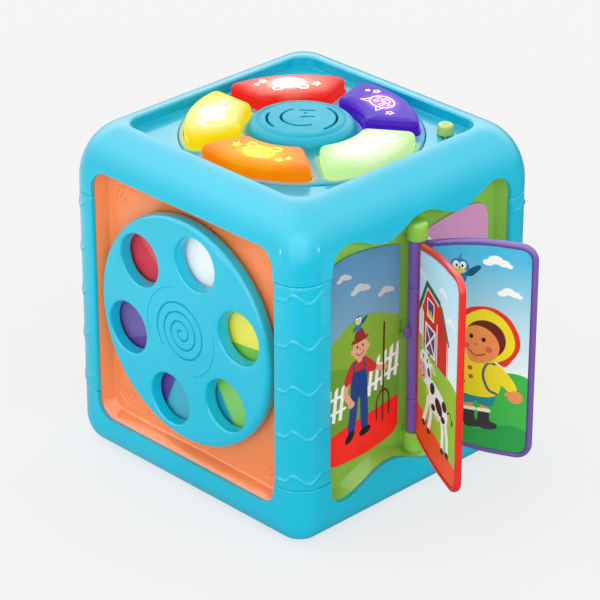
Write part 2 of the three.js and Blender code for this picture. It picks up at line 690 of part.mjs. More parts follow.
function buildTop() {
  const degrees = Math.PI / 180;
  const dome = turned([
    [0, DECK_LOW], [32.5, DECK_LOW], [32.5, DECK_TOP], [30.5, 214.5],
    [28, 216.8], [24, 218], [12, 219.2], [0, 219.6],
  ], 32);
  const cavity = turned([[0, 200], [28.5, 200], [28.5, 208], [26, 214], [12, 217], [0, 217.2]], 24);
  const apertures = KEY_NAMES.map((_, i) => {
    const geometry = geometryOf(loft([[200, keyRing(0.1)], [215, keyRing(0.1)]]));
    geometry.rotateZ((i * 2 * Math.PI) / 5);
    return solidOf(geometry);
  });
  const slots = [
    arcSlot(22, 205 * degrees, 262 * degrees),
    arcSlot(22, -5 * degrees, 88 * degrees),
    arcSlot(13, 160 * degrees, 342 * degrees),
    box(-7.5, 1.5, 3, 4.6, 200, 230),
    box(-2.5, 6, -4.6, -3, 200, 230),
  ];
  const deck = cut(
    joined(drum(0, 0, DECK_LOW, DECK_TOP, DECK_RADIUS, DECK_RADIUS, 48), dome),
    cavity,
    ...apertures,
    ...slots,
  );
  place(cube, 'key_deck', deck, plastic('blue'));
  KEY_NAMES.forEach((name, i) => key((i * 2 * Math.PI) / 5, name, KEY_COLOURS[i]));

  const boardLow = 186;
  const boardTop = 187.6;
  place(cube, 'main_board', cut(drum(0, 0, boardLow, boardTop, 70, 70, 40), drum(0, 0, 180, 190, 30, 30, 24)),
    plastic('board', 0.5));
  const sheetLow = boardTop + GAP;
  const around = (radius, make) =>
    KEY_NAMES.map((_, i) => {
      const angle = (i * 2 * Math.PI) / 5;
      return make(radius * Math.cos(angle), radius * Math.sin(angle), i);
    });
  const membrane = cut(
    joined(
      drum(0, 0, sheetLow, sheetLow + 1, 68, 68, 40),
      ...around(62, (x, y) => drum(x, y, sheetLow, sheetLow + 5, 4.5, 3, 12)),
    ),
    drum(0, 0, 180, 200, 33, 33, 24),
    ...around(50, (x, y) => drum(x, y, 180, 200, 4, 4, 12)),
  );
  place(cube, 'key_membrane', membrane, plastic('silicone', 0.6));
  around(50, (x, y, i) => {
    const lamp = turned([[0, 0], [2.9, 0], [2.9, 1], [2.5, 1], [2.5, 4.5], [1.8, 6.3], [0, 7]], 12);
    const mesh = place(cube, `led_${KEY_NAMES[i].slice(4)}`, lamp, plastic('print', 0.1));
    mesh.position.set(x, y, boardTop + GAP);
  });
  const magnet = [[0, 190], [12.5, 190], [12.5, 199]];
  const cone = [...magnet, [26, 204], [27.5, 204], [27.5, 207], [24, 207], [8, 201.5], [0, 201.5]];
  place(cube, 'speaker', turned(cone, 32), plastic('black', 0.6));

  const knob = joined(
    tangentBox(7, 3.6, 201, RECESS_FLOOR + 1.5),
    switchCap(),
  );
  place(cube, 'switch_knob', knob, plastic('green'));
  place(cube, 'switch_body', tangentBox(22, 9, 190, 200.4), plastic('black', 0.5));
}

// Rounded cap of the slide switch.
function switchCap() {
  const low = RECESS_FLOOR + GAP;
  const rings = [[low, 5.2], [low + 5.5, 4.8], [low + 6.8, 4], [low + 7.2, 2.6]];
  return loft(rings.map(([z, r]) => [z, arc(SWITCH_AT, SWITCH_AT, r, 0, (2 * Math.PI * 15) / 16, 15)]));
}

// ---------- sorting side ----------
const SORT_FLOOR = 70; // floor of the bin, and the level the blocks stand on
const BLOCK_FRONT = -18;
const BLOCK_BACK = -48;
const BLOCK_CLEAR = 1;
const SHAPES = [
  { name: 'block_round', colour: 'red', x: -48 },
  { name: 'block_square', colour: 'purple', x: 0 },
  { name: 'block_triangle', colour: 'green', x: 48 },
];

// Outline of a block standing on the bin floor, grown by grow.
function blockRing(kind, x, grow) {
  const y0 = SORT_FLOOR + GAP;
  if (kind === 'block_round') return arc(x, y0 + 18, 18 + grow, 0, (2 * Math.PI * 35) / 36, 35);
  if (kind === 'block_square') {
    return roundedRectangle(x - 17 - grow, x + 17 + grow, y0 - grow, y0 + 34 + grow, 3, 3);
  }
  const half = 21;
  const rise = half * Math.sqrt(3);
  const round = 3;
  const centres = [[-half + round * 1.732, round], [half - round * 1.732, round], [0, rise - 2 * round]];
  return centres.flatMap(([cx, cy], i) => {
    const start = (5 * Math.PI) / 6 + (i * 2 * Math.PI) / 3;
    return arc(x + cx, y0 + cy, round + grow, start, start + (2 * Math.PI) / 3, 4);
  });
}

function buildSortingSide() {
  const holes = SHAPES.map(({ name, x }) => {
    const ring = blockRing(name, x, BLOCK_CLEAR);
    return loft([[TRAY_BACK - 1, ring], [0, ring]]);
  });
  place(back, 'sorting_panel', cut(tray(plainWindow), ...holes), plastic('yellow'));
  for (const { name, colour, x } of SHAPES) {
    const solid = loft([[BLOCK_BACK, blockRing(name, x, 0)], [BLOCK_FRONT, blockRing(name, x, 0)]]);
    place(back, name, solid, plastic(colour));
  }
}

// ---------- bin and door side ----------
const BIN = { x0: -85.4, x1: 76, y0: -58, y1: 85.4, z0: SORT_FLOOR - 2.4, z1: 152, notch: 76 };
const DOORWAY = { u0: -42, u1: 42, v0: SORT_FLOOR, v1: 146 };
const DOOR_HINGE = 47.5;
const DOOR_DEPTH = -7.6; // depth of the hinge axis

function buildDoorSide() {
  const skin = 2.2;
  // Open towards the sorting panel, with its corner stepped round the screw boss of the post.
  const bin = cut(
    joined(
      box(-BIN.notch, BIN.x1, BIN.y0, BIN.y1, BIN.z0, BIN.z1),
      box(BIN.x0, BIN.x1, BIN.y0, BIN.notch, BIN.z0, BIN.z1),
    ),
    box(-BIN.notch + skin, BIN.x1 - skin, BIN.y0 + skin, BIN.y1 + 1, SORT_FLOOR, BIN.z1 - skin),
    box(BIN.x0 + skin, BIN.x1 - skin, BIN.y0 + skin, BIN.notch - skin, SORT_FLOOR, BIN.z1 - skin),
    box(BIN.x0 - 1, BIN.x0 + skin + 1, DOORWAY.u0, DOORWAY.u1, SORT_FLOOR, DOORWAY.v1),
  );
  place(cube, 'block_bin', bin, plastic('print', 0.5));

  const doorway = roundedRectangle(DOORWAY.u0, DOORWAY.u1, DOORWAY.v0 + 0.5, DOORWAY.v1, 8);
  const lugs = [[58, 64], [152, 158]];
  const lug = ([y0, y1]) => {
    const round = new THREE.CylinderGeometry(3, 3, y1 - y0, 16);
    round.translate(DOOR_HINGE, (y0 + y1) / 2, DOOR_DEPTH);
    return joined(solidOf(round), box(DOOR_HINGE - 3, DOOR_HINGE + 3, y0, y1, TRAY_FLOOR - 1, DOOR_DEPTH));
  };
  const pinHole = new THREE.CylinderGeometry(1.4, 1.4, 120, 12);
  pinHole.translate(DOOR_HINGE, 108, DOOR_DEPTH);
  const panel = cut(
    joined(tray(plainWindow), ...lugs.map(lug)),
    loft([[TRAY_BACK - 1, doorway], [0, doorway]]),
    solidOf(pinHole),
  );
  place(left, 'door_panel', panel, plastic('purple'));

  const low = 64.4;
  const high = 151.6;
  const leafRing = (grow) =>
    roundedRectangle(-49 - grow, DOOR_HINGE - 1 + grow, low - grow, high + grow, 10 + grow);
  const barrel = new THREE.CylinderGeometry(3, 3, high - low, 16);
  barrel.translate(DOOR_HINGE, (low + high) / 2, DOOR_DEPTH);
  const bore = new THREE.CylinderGeometry(1.5, 1.5, 120, 12);
  bore.translate(DOOR_HINGE, 108, DOOR_DEPTH);
  const pull = loft([
    [-8, roundedRectangle(-41, -33, 96, 120, 3.9)],
    [-2.5, roundedRectangle(-40, -34, 97, 119, 2.9)],
    [-1.6, roundedRectangle(-39, -35, 98, 118, 1.9)],
  ]);
  const leaf = joined(
    loft([[-11, leafRing(0)], [-8, leafRing(0)], [-7, leafRing(-1)]]),
    pull,
    solidOf(barrel),
  );
  place(left, 'block_door', cut(leaf, solidOf(bore)), plastic('orange'));
  const pin = place(left, 'door_pin', upright(1.2, 59, 157, 12), plastic('steel', 0.25, 1));
  pin.position.set(DOOR_HINGE, 0, DOOR_DEPTH);
}

// ---------- wiring ----------
function cable(name, points, colour) {
  const path = new THREE.CatmullRomCurve3(points.map((p) => new THREE.Vector3(...p)));
  const circle = arc(0, 0, 1.1, 0, (2 * Math.PI * 5) / 6, 5);
  const ring = new THREE.Shape(circle.map(([x, y]) => new THREE.Vector2(x, y)));
  const geometry = new THREE.ExtrudeGeometry(ring, { steps: 18, extrudePath: path, bevelEnabled: false });
  place(cube, name, solidOf(geometry), plastic(colour, 0.5));
}

function buildCables() {
  cable('battery_cable', [
    [-30, -20, 23.6], [20, -50, 30], [70, -66, 34], [80.5, -66, 60],
    [80.5, -66, 150], [70, -60, 176], [50, -40, 184.6],
  ], 'red');
  cable('speaker_cable', [[0, -14, 192], [0, -24, 184], [10, -36, 182], [20, -44, 184.6]], 'black');
}

buildHousing();
buildBatteries();
buildWheelSide();
buildBookSide();
buildTop();
buildSortingSide();
buildDoorSide();
buildCables();

export default cube;
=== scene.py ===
"""Looks of the activity cube: fine mouldings, printed pictures, lit keys, studio light and camera.

Shapes are worked out in millimetres. Each side of the cube has its own frame (x right, y up, z outwards),
and the boxes of the CAD nodes give most positions.
"""
import math

import bmesh
import bpy
from mathutils import Matrix, Vector, geometry


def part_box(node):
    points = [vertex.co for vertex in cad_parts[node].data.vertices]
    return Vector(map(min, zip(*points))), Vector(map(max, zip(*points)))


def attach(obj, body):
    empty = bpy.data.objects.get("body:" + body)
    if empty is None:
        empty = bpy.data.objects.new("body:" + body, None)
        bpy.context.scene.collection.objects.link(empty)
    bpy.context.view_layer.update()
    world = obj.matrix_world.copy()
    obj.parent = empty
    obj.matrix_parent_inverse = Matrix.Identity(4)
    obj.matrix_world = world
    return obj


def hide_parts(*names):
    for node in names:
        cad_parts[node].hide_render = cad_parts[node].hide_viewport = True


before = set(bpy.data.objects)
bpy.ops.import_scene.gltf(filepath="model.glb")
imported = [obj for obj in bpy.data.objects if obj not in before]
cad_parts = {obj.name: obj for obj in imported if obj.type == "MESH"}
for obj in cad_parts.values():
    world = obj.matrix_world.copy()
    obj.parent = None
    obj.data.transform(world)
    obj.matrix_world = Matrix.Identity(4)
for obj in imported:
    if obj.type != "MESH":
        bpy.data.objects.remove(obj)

MM = 0.001
for leftover in ("Cube", "Camera", "Light"):  # what a new Blender scene starts with
    if leftover in bpy.data.objects:
        bpy.data.objects.remove(bpy.data.objects[leftover])
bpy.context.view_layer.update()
TAU = 2 * math.pi
QUARTER = math.pi / 2


# ---------------------------------------------------------------- sizes
def span(node, axis):
    """Lowest and highest coordinate of a CAD node along one axis, in millimetres."""
    low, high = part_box(node)
    return low[axis] / MM, high[axis] / MM


def centre_of(node, axis):
    """Middle of a CAD node along one axis, in millimetres."""
    return sum(span(node, axis)) / 2


HALF = span("top_cover", 0)[1]
HEIGHT = span("top_cover", 2)[1]
SEAM_HIGH = span("top_cover", 2)[0]
SEAM_LOW = span("base_cover", 2)[1]
CORNER = 18.0
SHOULDER_REACH, SHOULDER_DROP, SHOULDER_TAPER = 22.3, 36.0, 0.3
FOOT_REACH, FOOT_RISE = 12.0, 18.0
WALL = 2.6
GAP = 0.3
WINDOW_HALF = 78.0
WINDOW_LOW = 22.5
WINDOW_HIGH = 190.0
WINDOW_CORNER = 12.0
LIP = 2.0  # rounding of the openings
WHEEL_LOW, WHEEL_HIGH = span("wheel", 2)
WHEEL_MID = (WHEEL_LOW + WHEEL_HIGH) / 2
WHEEL_RADIUS = (WHEEL_HIGH - WHEEL_LOW) / 2
TRAY_FLOOR = -11.5
TRAY_BACK = -14.0
SPINE_X = centre_of("page_pin", 0)


# ---------------------------------------------------------------- colours
def rgb(red, green, blue):
    """Linear colour from 0..255 display values."""
    def linear(value):
        value /= 255
        return value / 12.92 if value <= 0.04045 else ((value + 0.055) / 1.055) ** 2.4
    return (linear(red), linear(green), linear(blue), 1.0)


def grey(value):
    return (value, value, value, 1.0)


def scaled(colour, share):
    return tuple(c * share for c in colour[:3]) + (1.0,)


BLUE = rgb(2, 188, 217)
ORANGE = rgb(250, 142, 82)
GREEN = rgb(140, 196, 70)
PURPLE = rgb(120, 84, 170)
RED = rgb(232, 36, 26)
YELLOW = rgb(246, 206, 50)


# ---------------------------------------------------------------- materials
GRAIN_DEPTH = 0.0002  # in metres, full height of every surface grain
SPILL_COVER, SPILL_GLOW = 0.72, 0.4


class Nodes:
    """A node tree being built."""

    def __init__(self, name):
        self.material = bpy.data.materials.new(name)
        self.material.use_nodes = True
        self.tree = self.material.node_tree
        self.shader = self.tree.nodes["Principled BSDF"]

    def add(self, kind, **settings):
        node = self.tree.nodes.new(kind)
        for key, value in settings.items():
            setattr(node, key, value)
        return node

    def link(self, source, target):
        self.tree.links.new(source, target)

    def noise(self, scale, detail=3.0, roughness=0.5):
        place = self.add("ShaderNodeTexCoord")
        noise = self.add("ShaderNodeTexNoise")
        noise.inputs["Scale"].default_value = scale
        noise.inputs["Detail"].default_value = detail
        noise.inputs["Roughness"].default_value = roughness
        self.link(place.outputs["Object"], noise.inputs["Vector"])
        return noise.outputs["Fac"]

    def remap(self, value, low, high, out_low, out_high):
        node = self.add("ShaderNodeMapRange")
        node.inputs["From Min"].default_value = low
        node.inputs["From Max"].default_value = high
        node.inputs["To Min"].default_value = out_low
        node.inputs["To Max"].default_value = out_high
        self.link(value, node.inputs["Value"])
        return node.outputs["Result"]

    def mix(self, factor, first, second, blend="MIX"):
        node = self.add("ShaderNodeMix", data_type="RGBA", blend_type=blend)
        for socket, value in (("Factor", factor), ("A", first), ("B", second)):
            kind = "VALUE" if socket == "Factor" else "RGBA"
            target = next(s for s in node.inputs if s.name == socket and s.type == kind)
            if hasattr(value, "links"):
                self.link(value, target)
            else:
                target.default_value = value
        return next(s for s in node.outputs if s.type == "RGBA")

    def uneven(self, scale, low, high, out_low, out_high, detail=3.0):
        """A noise whose values from low to high are spread over out_low to out_high."""
        return self.remap(self.noise(scale, detail), low, high, out_low, out_high)

    def put(self, socket, value):
        """Gives an input of the shader a number, a colour or the output of another node."""
        if hasattr(value, "links"):
            self.link(value, self.shader.inputs[socket])
        else:
            self.shader.inputs[socket].default_value = value

    def bump(self, height, strength):
        node = self.add("ShaderNodeBump")
        node.inputs["Strength"].default_value = strength
        node.inputs["Distance"].default_value = GRAIN_DEPTH
        self.link(height, node.inputs["Height"])
        self.put("Normal", node.outputs["Normal"])

    def edge_wear(self, reach=0.0012):
        """1 on sharp edges, 0 elsewhere."""
        bevel = self.add("ShaderNodeBevel", samples=4)
        bevel.inputs["Radius"].default_value = reach
        here = self.add("ShaderNodeNewGeometry")
        dot = self.add("ShaderNodeVectorMath", operation="DOT_PRODUCT")
        self.link(bevel.outputs["Normal"], dot.inputs[0])
        self.link(here.outputs["Normal"], dot.inputs[1])
        return self.remap(dot.outputs["Value"], 1.0, 0.75, 0.0, 1.0)


def moulded(name, colour, roughness=0.34, grain=0.05, coat=0.6, wear=0.2, spill=False):
    """Injection-moulded plastic: slight mottling, fine grain, rubbed edges and handling marks, and with spill
    the light of the keys."""
    nodes = Nodes(name)
    darker = scaled(colour, 0.90)
    lighter = tuple(min(1.0, c * 1.25 + 0.03) for c in colour[:3]) + (1.0,)
    mottled = nodes.mix(nodes.uneven(9.0, 0.3, 0.7, 0.0, 1.0), colour, darker)
    rubbed = nodes.add("ShaderNodeMath", operation="MULTIPLY")
    nodes.link(nodes.edge_wear(), rubbed.inputs[0])
    nodes.link(nodes.uneven(120.0, 0.42, 0.62, 0.0, wear), rubbed.inputs[1])
    surface = nodes.mix(rubbed.outputs["Value"], mottled, lighter)
    if spill:
        light = nodes.add("ShaderNodeAttribute", attribute_name="spill")
        cover = nodes.remap(light.outputs["Fac"], 0.0, 0.8, 0.0, SPILL_COVER)
        surface = nodes.mix(cover, surface, light.outputs["Color"])
        nodes.put("Emission Color", light.outputs["Color"])
        nodes.put("Emission Strength", SPILL_GLOW)
    nodes.put("Base Color", surface)
    handled = nodes.uneven(28.0, 0.35, 0.7, roughness - 0.05, roughness + 0.09, detail=5.0)
    nodes.put("Roughness", handled)
    nodes.bump(nodes.noise(2600.0, 2.0), grain)
    nodes.put("Coat Weight", coat)
    nodes.put("Coat Roughness", 0.13)
    nodes.put("Specular IOR Level", 0.22)
    return nodes.material


# ---------------------------------------------------------------- outlines, counter-clockwise
def arc(cx, cy, radius, start, end, steps):
    turn = (end - start) / steps
    return [(cx + radius * math.cos(start + i * turn), cy + radius * math.sin(start + i * turn))
            for i in range(steps + 1)]


def quarter(steps):
    """Angles that divide a quarter turn into steps."""
    return [QUARTER * i / steps for i in range(steps + 1)]


def circle(cx, cy, radius, steps=64):
    return arc(cx, cy, radius, 0.0, TAU, steps)[:-1]


def rounded(x0, x1, y0, y1, radius, steps=10):
    """Rectangle with rounded corners."""
    radius = max(radius, 0.2)
    centres = ((x1 - radius, y0 + radius), (x1 - radius, y1 - radius),
               (x0 + radius, y1 - radius), (x0 + radius, y0 + radius))
    points = []
    for i, (cx, cy) in enumerate(centres):
        points += arc(cx, cy, radius, (i - 1) * QUARTER, i * QUARTER, steps)
    return points


def square(half, radius, steps=12):
    return rounded(-half, half, -half, half, radius, steps)


def plain_window(inset):
    return rounded(-WINDOW_HALF + inset, WINDOW_HALF - inset, WINDOW_LOW + inset, WINDOW_HIGH - inset,
                   WINDOW_CORNER - inset)


WAVE_LEFT, WAVE_RIGHT = -73.5, 77.0
WAVE_TOP = {"mean": 184.3, "swing": 4.6, "crest": 2.0, "period": 62.0, "corner": 13.0}
WAVE_LOW = {"mean": 27.0, "swing": 5.8, "crest": -24.0, "period": 77.0, "corner": 10.0}


def wave_height(wave, u):
    return wave["mean"] + wave["swing"] * math.cos(TAU * (u - wave["crest"]) / wave["period"])


def wavy_window(inset):
    """Opening of the book side: scalloped above and below."""
    steps = 72

    def between(wave):
        start, end = WAVE_LEFT + wave["corner"], WAVE_RIGHT - wave["corner"]
        return [start + (end - start) * i / steps for i in range(1, steps)]

    def corner(wave, sideways, upwards, start):
        x = WAVE_RIGHT - wave["corner"] if sideways > 0 else WAVE_LEFT + wave["corner"]
        y = wave_height(wave, x) - upwards * wave["corner"]
        return arc(x, y, wave["corner"] - inset, start, start + QUARTER, 10)
    points = [(u, wave_height(WAVE_LOW, u) + inset) for u in between(WAVE_LOW)]
    points += corner(WAVE_LOW, 1, -1, -QUARTER) + corner(WAVE_TOP, 1, 1, 0.0)
    points += [(u, wave_height(WAVE_TOP, u) - inset) for u in reversed(between(WAVE_TOP))]
    points += corner(WAVE_TOP, -1, 1, QUARTER) + corner(WAVE_LOW, -1, -1, 2 * QUARTER)
    return points


def rounding(outline, height, radius, steps=6, rising=True):
    """Rings of a rounded edge that ends flush at height, with a narrow flat ring after it."""
    rings = []
    for angle in quarter(steps):
        rings.append((height - radius + radius * math.sin(angle), outline(radius * (1 - math.cos(angle)))))
    rings.append((height, outline(radius + 0.5)))
    return rings if rising else rings[::-1]


# ---------------------------------------------------------------- mesh building
class Moulding:
    """A solid built from rings of points, in millimetres."""

    def __init__(self):
        self.bm = bmesh.new()

    def loop(self, height, points):
        return [self.bm.verts.new((x, y, height)) for x, y in points]

    def strip(self, first, second):
        for i in range(len(first)):
            j = (i + 1) % len(first)
            self.bm.faces.new((first[i], first[j], second[j], second[i]))

    def skin(self, rings):
        """Side walls through a stack of (height, points). Returns the first and the last loop."""
        loops = [self.loop(height, points) for height, points in rings]
        for first, second in zip(loops, loops[1:]):
            self.strip(first, second)
        return loops[0], loops[-1]

    def cap(self, *loops, pitch=None):
        """Closes the area inside the first loop and outside the others, with inner points every pitch."""
        verts = [v for loop in loops for v in loop]
        points = [Vector((v.co.x, v.co.y)) for v in verts]
        edges, faces = [], []
        start = 0
        for loop in loops:
            ids = list(range(start, start + len(loop)))
            edges += list(zip(ids, ids[1:] + ids[:1]))
            turning = sum(points[i].cross(points[j]) for i, j in zip(ids, ids[1:] + ids[:1]))
            faces.append(ids if turning > 0 else ids[::-1])
            start += len(loop)
        height = loops[0][0].co.z
        if pitch:
            points += list(self.spread(points, edges, pitch))
        found = geometry.delaunay_2d_cdt(points, [], faces, 1, 1e-5)
        made = {}
        for face, origin in zip(found[2], found[5]):
            if list(origin) != [0]:
                continue
            corners = []
            for i in face:
                if i not in made:
                    known = [k for k in found[3][i] if k < len(verts)]
                    point = found[0][i]
                    made[i] = verts[known[0]] if known else self.bm.verts.new((point.x, point.y, height))
                corners.append(made[i])
            self.bm.faces.new(corners)

    @staticmethod
    def spread(points, edges, pitch):
        """Grid points that keep clear of every loop."""
        near = set()
        for a, b in edges:
            steps = max(1, int((points[b] - points[a]).length / (pitch / 2)))
            for i in range(steps + 1):
                p = points[a].lerp(points[b], i / steps)
                near.add((round(p.x / pitch), round(p.y / pitch)))
        low = [min(p[k] for p in points) for k in (0, 1)]
        high = [max(p[k] for p in points) for k in (0, 1)]
        for i in range(int(low[0] / pitch), int(high[0] / pitch) + 1):
            for j in range(int(low[1] / pitch), int(high[1] / pitch) + 1):
                if (i, j) not in near:
                    yield Vector((i * pitch, j * pitch))

    def solid(self, rings, pitch=None):
        """Side walls through the rings, closed at both ends. The last end gets inner points every pitch."""
        first, last = self.skin(rings)
        self.cap(first)
        self.cap(last, pitch=pitch)
        return self

    def groove(self, path, width, depth, height):
        """A round-ended channel along an open path, or a ridge when depth is negative. Returns its edge."""
        loops = []
        for share, drop in ((1.0, 0.0), (0.8, 0.2), (0.55, 0.7), (0.2, 1.0)):
            loops.append(self.loop(height - drop * depth, banks(path, share * width / 2)))
        for first, second in zip(loops, loops[1:]):
            self.strip(first, second)
        self.lid(loops[-1], len(path))
        return loops[0]

    def lid(self, loop, count):
        """Closes a loop made by banks() along a path of count points, from bank to bank."""
        for i in range(count - 1):
            self.bm.faces.new((loop[i], loop[i + 1], loop[2 * count - 1 - i], loop[2 * count - i]))
        self.bm.faces.new((loop[count - 1], loop[count], loop[count + 1]))
        self.bm.faces.new((loop[0], loop[2 * count], loop[2 * count + 1]))

    def pin(self, x, y, low, high, radius, edge=0.4, steps=32):
        """A free-standing upright cylinder with softened ends."""
        self.solid([(low, circle(x, y, radius - edge, steps)), (low + edge, circle(x, y, radius, steps)),
                    (high - edge, circle(x, y, radius, steps)), (high, circle(x, y, radius - edge, steps))])

    def reshape(self, move):
        for vert in self.bm.verts:
            vert.co = move(vert.co)


def banks(path, offset):
    """Closed outline at a distance from an open path: left bank, far tip, right bank back, near tip."""
    points = [Vector(p) for p in path]
    left, right = [], []
    for i, point in enumerate(points):
        ahead = points[min(i + 1, len(points) - 1)] - points[max(i - 1, 0)]
        side = Vector((-ahead.y, ahead.x)).normalized() * offset
        left.append(point + side)
        right.append(point - side)
    far = points[-1] + (points[-1] - points[-2]).normalized() * offset
    near = points[0] - (points[1] - points[0]).normalized() * offset
    return [tuple(p) for p in left + [far] + right[::-1] + [near]]


def upright(turn, reach=HALF):
    """Upright frame turned about the vertical: x right, y up, z outwards. It starts reach along its own z."""
    across = Vector((math.cos(turn), math.sin(turn), 0.0))
    out = Vector((math.sin(turn), -math.cos(turn), 0.0))
    place = Matrix.Identity(4)
    for row in range(3):
        place[row][0] = across[row] * MM
        place[row][1] = (0.0, 0.0, 1.0)[row] * MM
        place[row][2] = out[row] * MM
        place[row][3] = out[row] * reach * MM
    return place


FRONT = upright(0.0)
RIGHT = upright(QUARTER)
BACK = upright(2 * QUARTER)
LEFT = upright(-QUARTER)
WHOLE = Matrix.Scale(MM, 4)


def placed(name, data):
    """A new object in the scene."""
    made = bpy.data.objects.new(name, data)
    bpy.context.scene.collection.objects.link(made)
    return made


def piece(name, shape, place, material, body="housing", nodes=(), sharp=38.0, weighted=False):
    """Makes the object, with smooth shading broken at sharp edges."""
    bm = shape.bm if isinstance(shape, Moulding) else shape
    bmesh.ops.recalc_face_normals(bm, faces=bm.faces)
    mesh = bpy.data.meshes.new(name)
    bm.to_mesh(mesh)
    bm.free()
    mesh.transform(place)
    mesh.shade_smooth()
    mesh.set_sharp_from_angle(angle=math.radians(sharp))
    mesh.materials.append(material)
    made = placed(name, mesh)
    if weighted:
        normals = made.modifiers.new("even_normals", "WEIGHTED_NORMAL")
        normals.keep_sharp = True
    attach(made, body)
    if nodes:
        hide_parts(*nodes)
    return made


def boolean(first, second, operation="DIFFERENCE"):
    """first combined with second, both Mouldings in the same frame."""
    made = []
    for shape in (first, second):
        bmesh.ops.recalc_face_normals(shape.bm, faces=shape.bm.faces)
        mesh = bpy.data.meshes.new("tool")
        shape.bm.to_mesh(mesh)
        shape.bm.free()
        made.append(placed("tool", mesh))
    modifier = made[0].modifiers.new("cut", "BOOLEAN")
    modifier.object = made[1]
    modifier.operation = operation
    modifier.solver = "EXACT"
    shown = made[0].evaluated_get(bpy.context.evaluated_depsgraph_get())
    result = Moulding()
    result.bm.from_mesh(shown.to_mesh())
    shown.to_mesh_clear()
    for tool in made:
        mesh = tool.data
        bpy.data.objects.remove(tool)
        bpy.data.meshes.remove(mesh)
    return result


def facing(shape, place):
    """Turns a Moulding from the frame of a side into the frame of the cube, still in millimetres."""
    shape.bm.transform(Matrix.Scale(1 / MM, 4) @ place)
    return shape


def soften(shape, wanted, width, segments):
    """Rounds the edges that wanted(edge) picks."""
    edges = [e for e in shape.bm.edges if len(e.link_faces) == 2 and wanted(e)]
    bmesh.ops.bevel(shape.bm, geom=edges, offset=width, offset_type="OFFSET", segments=segments,
                    profile=0.5, affect="EDGES", clamp_overlap=True)


# ---------------------------------------------------------------- housing
OPENING_DEPTH = 9.0  # how far the cutters of the side openings reach in
RECESS_HALF = 75.5
RECESS_CORNER = 12.0
RECESS_FLOOR = 207.0
LINING_TOP = 200.0  # underside of the top wall
DECK_RADIUS = span("key_deck", 0)[1]
DECK_TOP = 208.0
SWITCH = Vector((centre_of("switch_knob", 0), centre_of("switch_knob", 1)))
SLIDE = Vector((-1.0, 1.0)).normalized()  # the way the switch moves
SCREW_PLACE = centre_of("base_screw_back_right", 0)


def outside(inset):
    return square(HALF - inset, max(CORNER - inset, 1.0))


def recess(inset):
    return square(RECESS_HALF - inset, RECESS_CORNER - inset)


def with_openings(shape):
    """Cuts the four side openings and rounds their outer edges."""
    for outline, place in ((plain_window, FRONT), (wavy_window, RIGHT), (plain_window, BACK),
                           (plain_window, LEFT)):
        prism = Moulding().solid([(-OPENING_DEPTH, outline(0)), (2.0, outline(0))])
        shape = boolean(shape, facing(prism, place))

    def opening_edge(edge):
        on_side = any(all(abs(abs(v.co[k]) - HALF) < 2.2 for v in edge.verts) for k in (0, 1))
        on_seam = any(all(abs(v.co.z - seam) < 0.5 for v in edge.verts) for seam in (SEAM_LOW, SEAM_HIGH))
        return on_side and not on_seam and edge.calc_face_angle(0.0) > 1.0
    soften(shape, opening_edge, LIP, 5)
    return shape


def shoulder(share, thickness=0.0):
    """Section through the rounded top edge: share runs from 0 at the sides to 1 on top."""
    angle = QUARTER * share
    inset = SHOULDER_REACH * (1 - math.cos(angle)) + thickness
    height = HEIGHT - SHOULDER_DROP * (1 - math.sin(angle))
    return height, square(HALF - inset, CORNER - SHOULDER_TAPER * inset)


def top_cover(material):
    shape = Moulding()
    rings = [(SEAM_HIGH, outside(WALL)), (SEAM_HIGH, outside(0.35)), (SEAM_HIGH + 0.35, outside(0))]
    steps = 16
    rings += [shoulder(i / steps) for i in range(steps + 1)]
    rings += rounding(lambda inset: recess(-inset), HEIGHT, 1.6, 6, rising=False)
    rings += [(RECESS_FLOOR + 0.8, recess(0.1)), (RECESS_FLOOR + 0.25, recess(0.3)),
              (RECESS_FLOOR, recess(0.8))]
    seam, floor = shape.skin(rings)
    ring = circle(0, 0, DECK_RADIUS + DECK_GAP, 120)
    mouth, below = shape.skin([(RECESS_FLOOR, circle(0, 0, DECK_RADIUS + DECK_GAP + 0.3, 120)),
                               (RECESS_FLOOR - 0.3, ring), (LINING_TOP, ring)])
    track = [tuple(SWITCH + SLIDE * step) for step in (-7.0, 0.0, 7.0)]
    marks = [shape.groove(track, 5.0, 3.0, RECESS_FLOOR)]
    for step in (-6.0, 0.0, 6.0):
        spot = SWITCH + SLIDE * step + Vector((5.6, 5.6))
        half = Vector((0.35, 0.35)) * (1.4 + step / 12)
        marks.append(shape.groove([tuple(spot - half), tuple(spot + half)], 0.9, -0.35, RECESS_FLOOR))
    shape.cap(floor, mouth, *marks, pitch=4.0)
    lining = [(LINING_TOP, shoulder(0.42, WALL)[1])] + [shoulder(share, WALL) for share in (0.28, 0.14, 0.0)]
    lining = [shape.loop(height, points) for height, points in lining]
    shape.cap(lining[0], below)
    for upper, lower in zip(lining, lining[1:] + [seam]):
        shape.strip(upper, lower)
    made = piece("top_cover_fine", with_openings(shape), WHOLE, material, nodes=["top_cover"], weighted=True)
    spill_light(made)
    return made


BASE_FLOOR = 24.0
DOOR_GAP = 0.4
DOOR_SHELF = 3.0
CELL_ROOF = 20.0
SCREW_HOLE = 3.3
SCREW_HOLE_DEPTH = 6.0


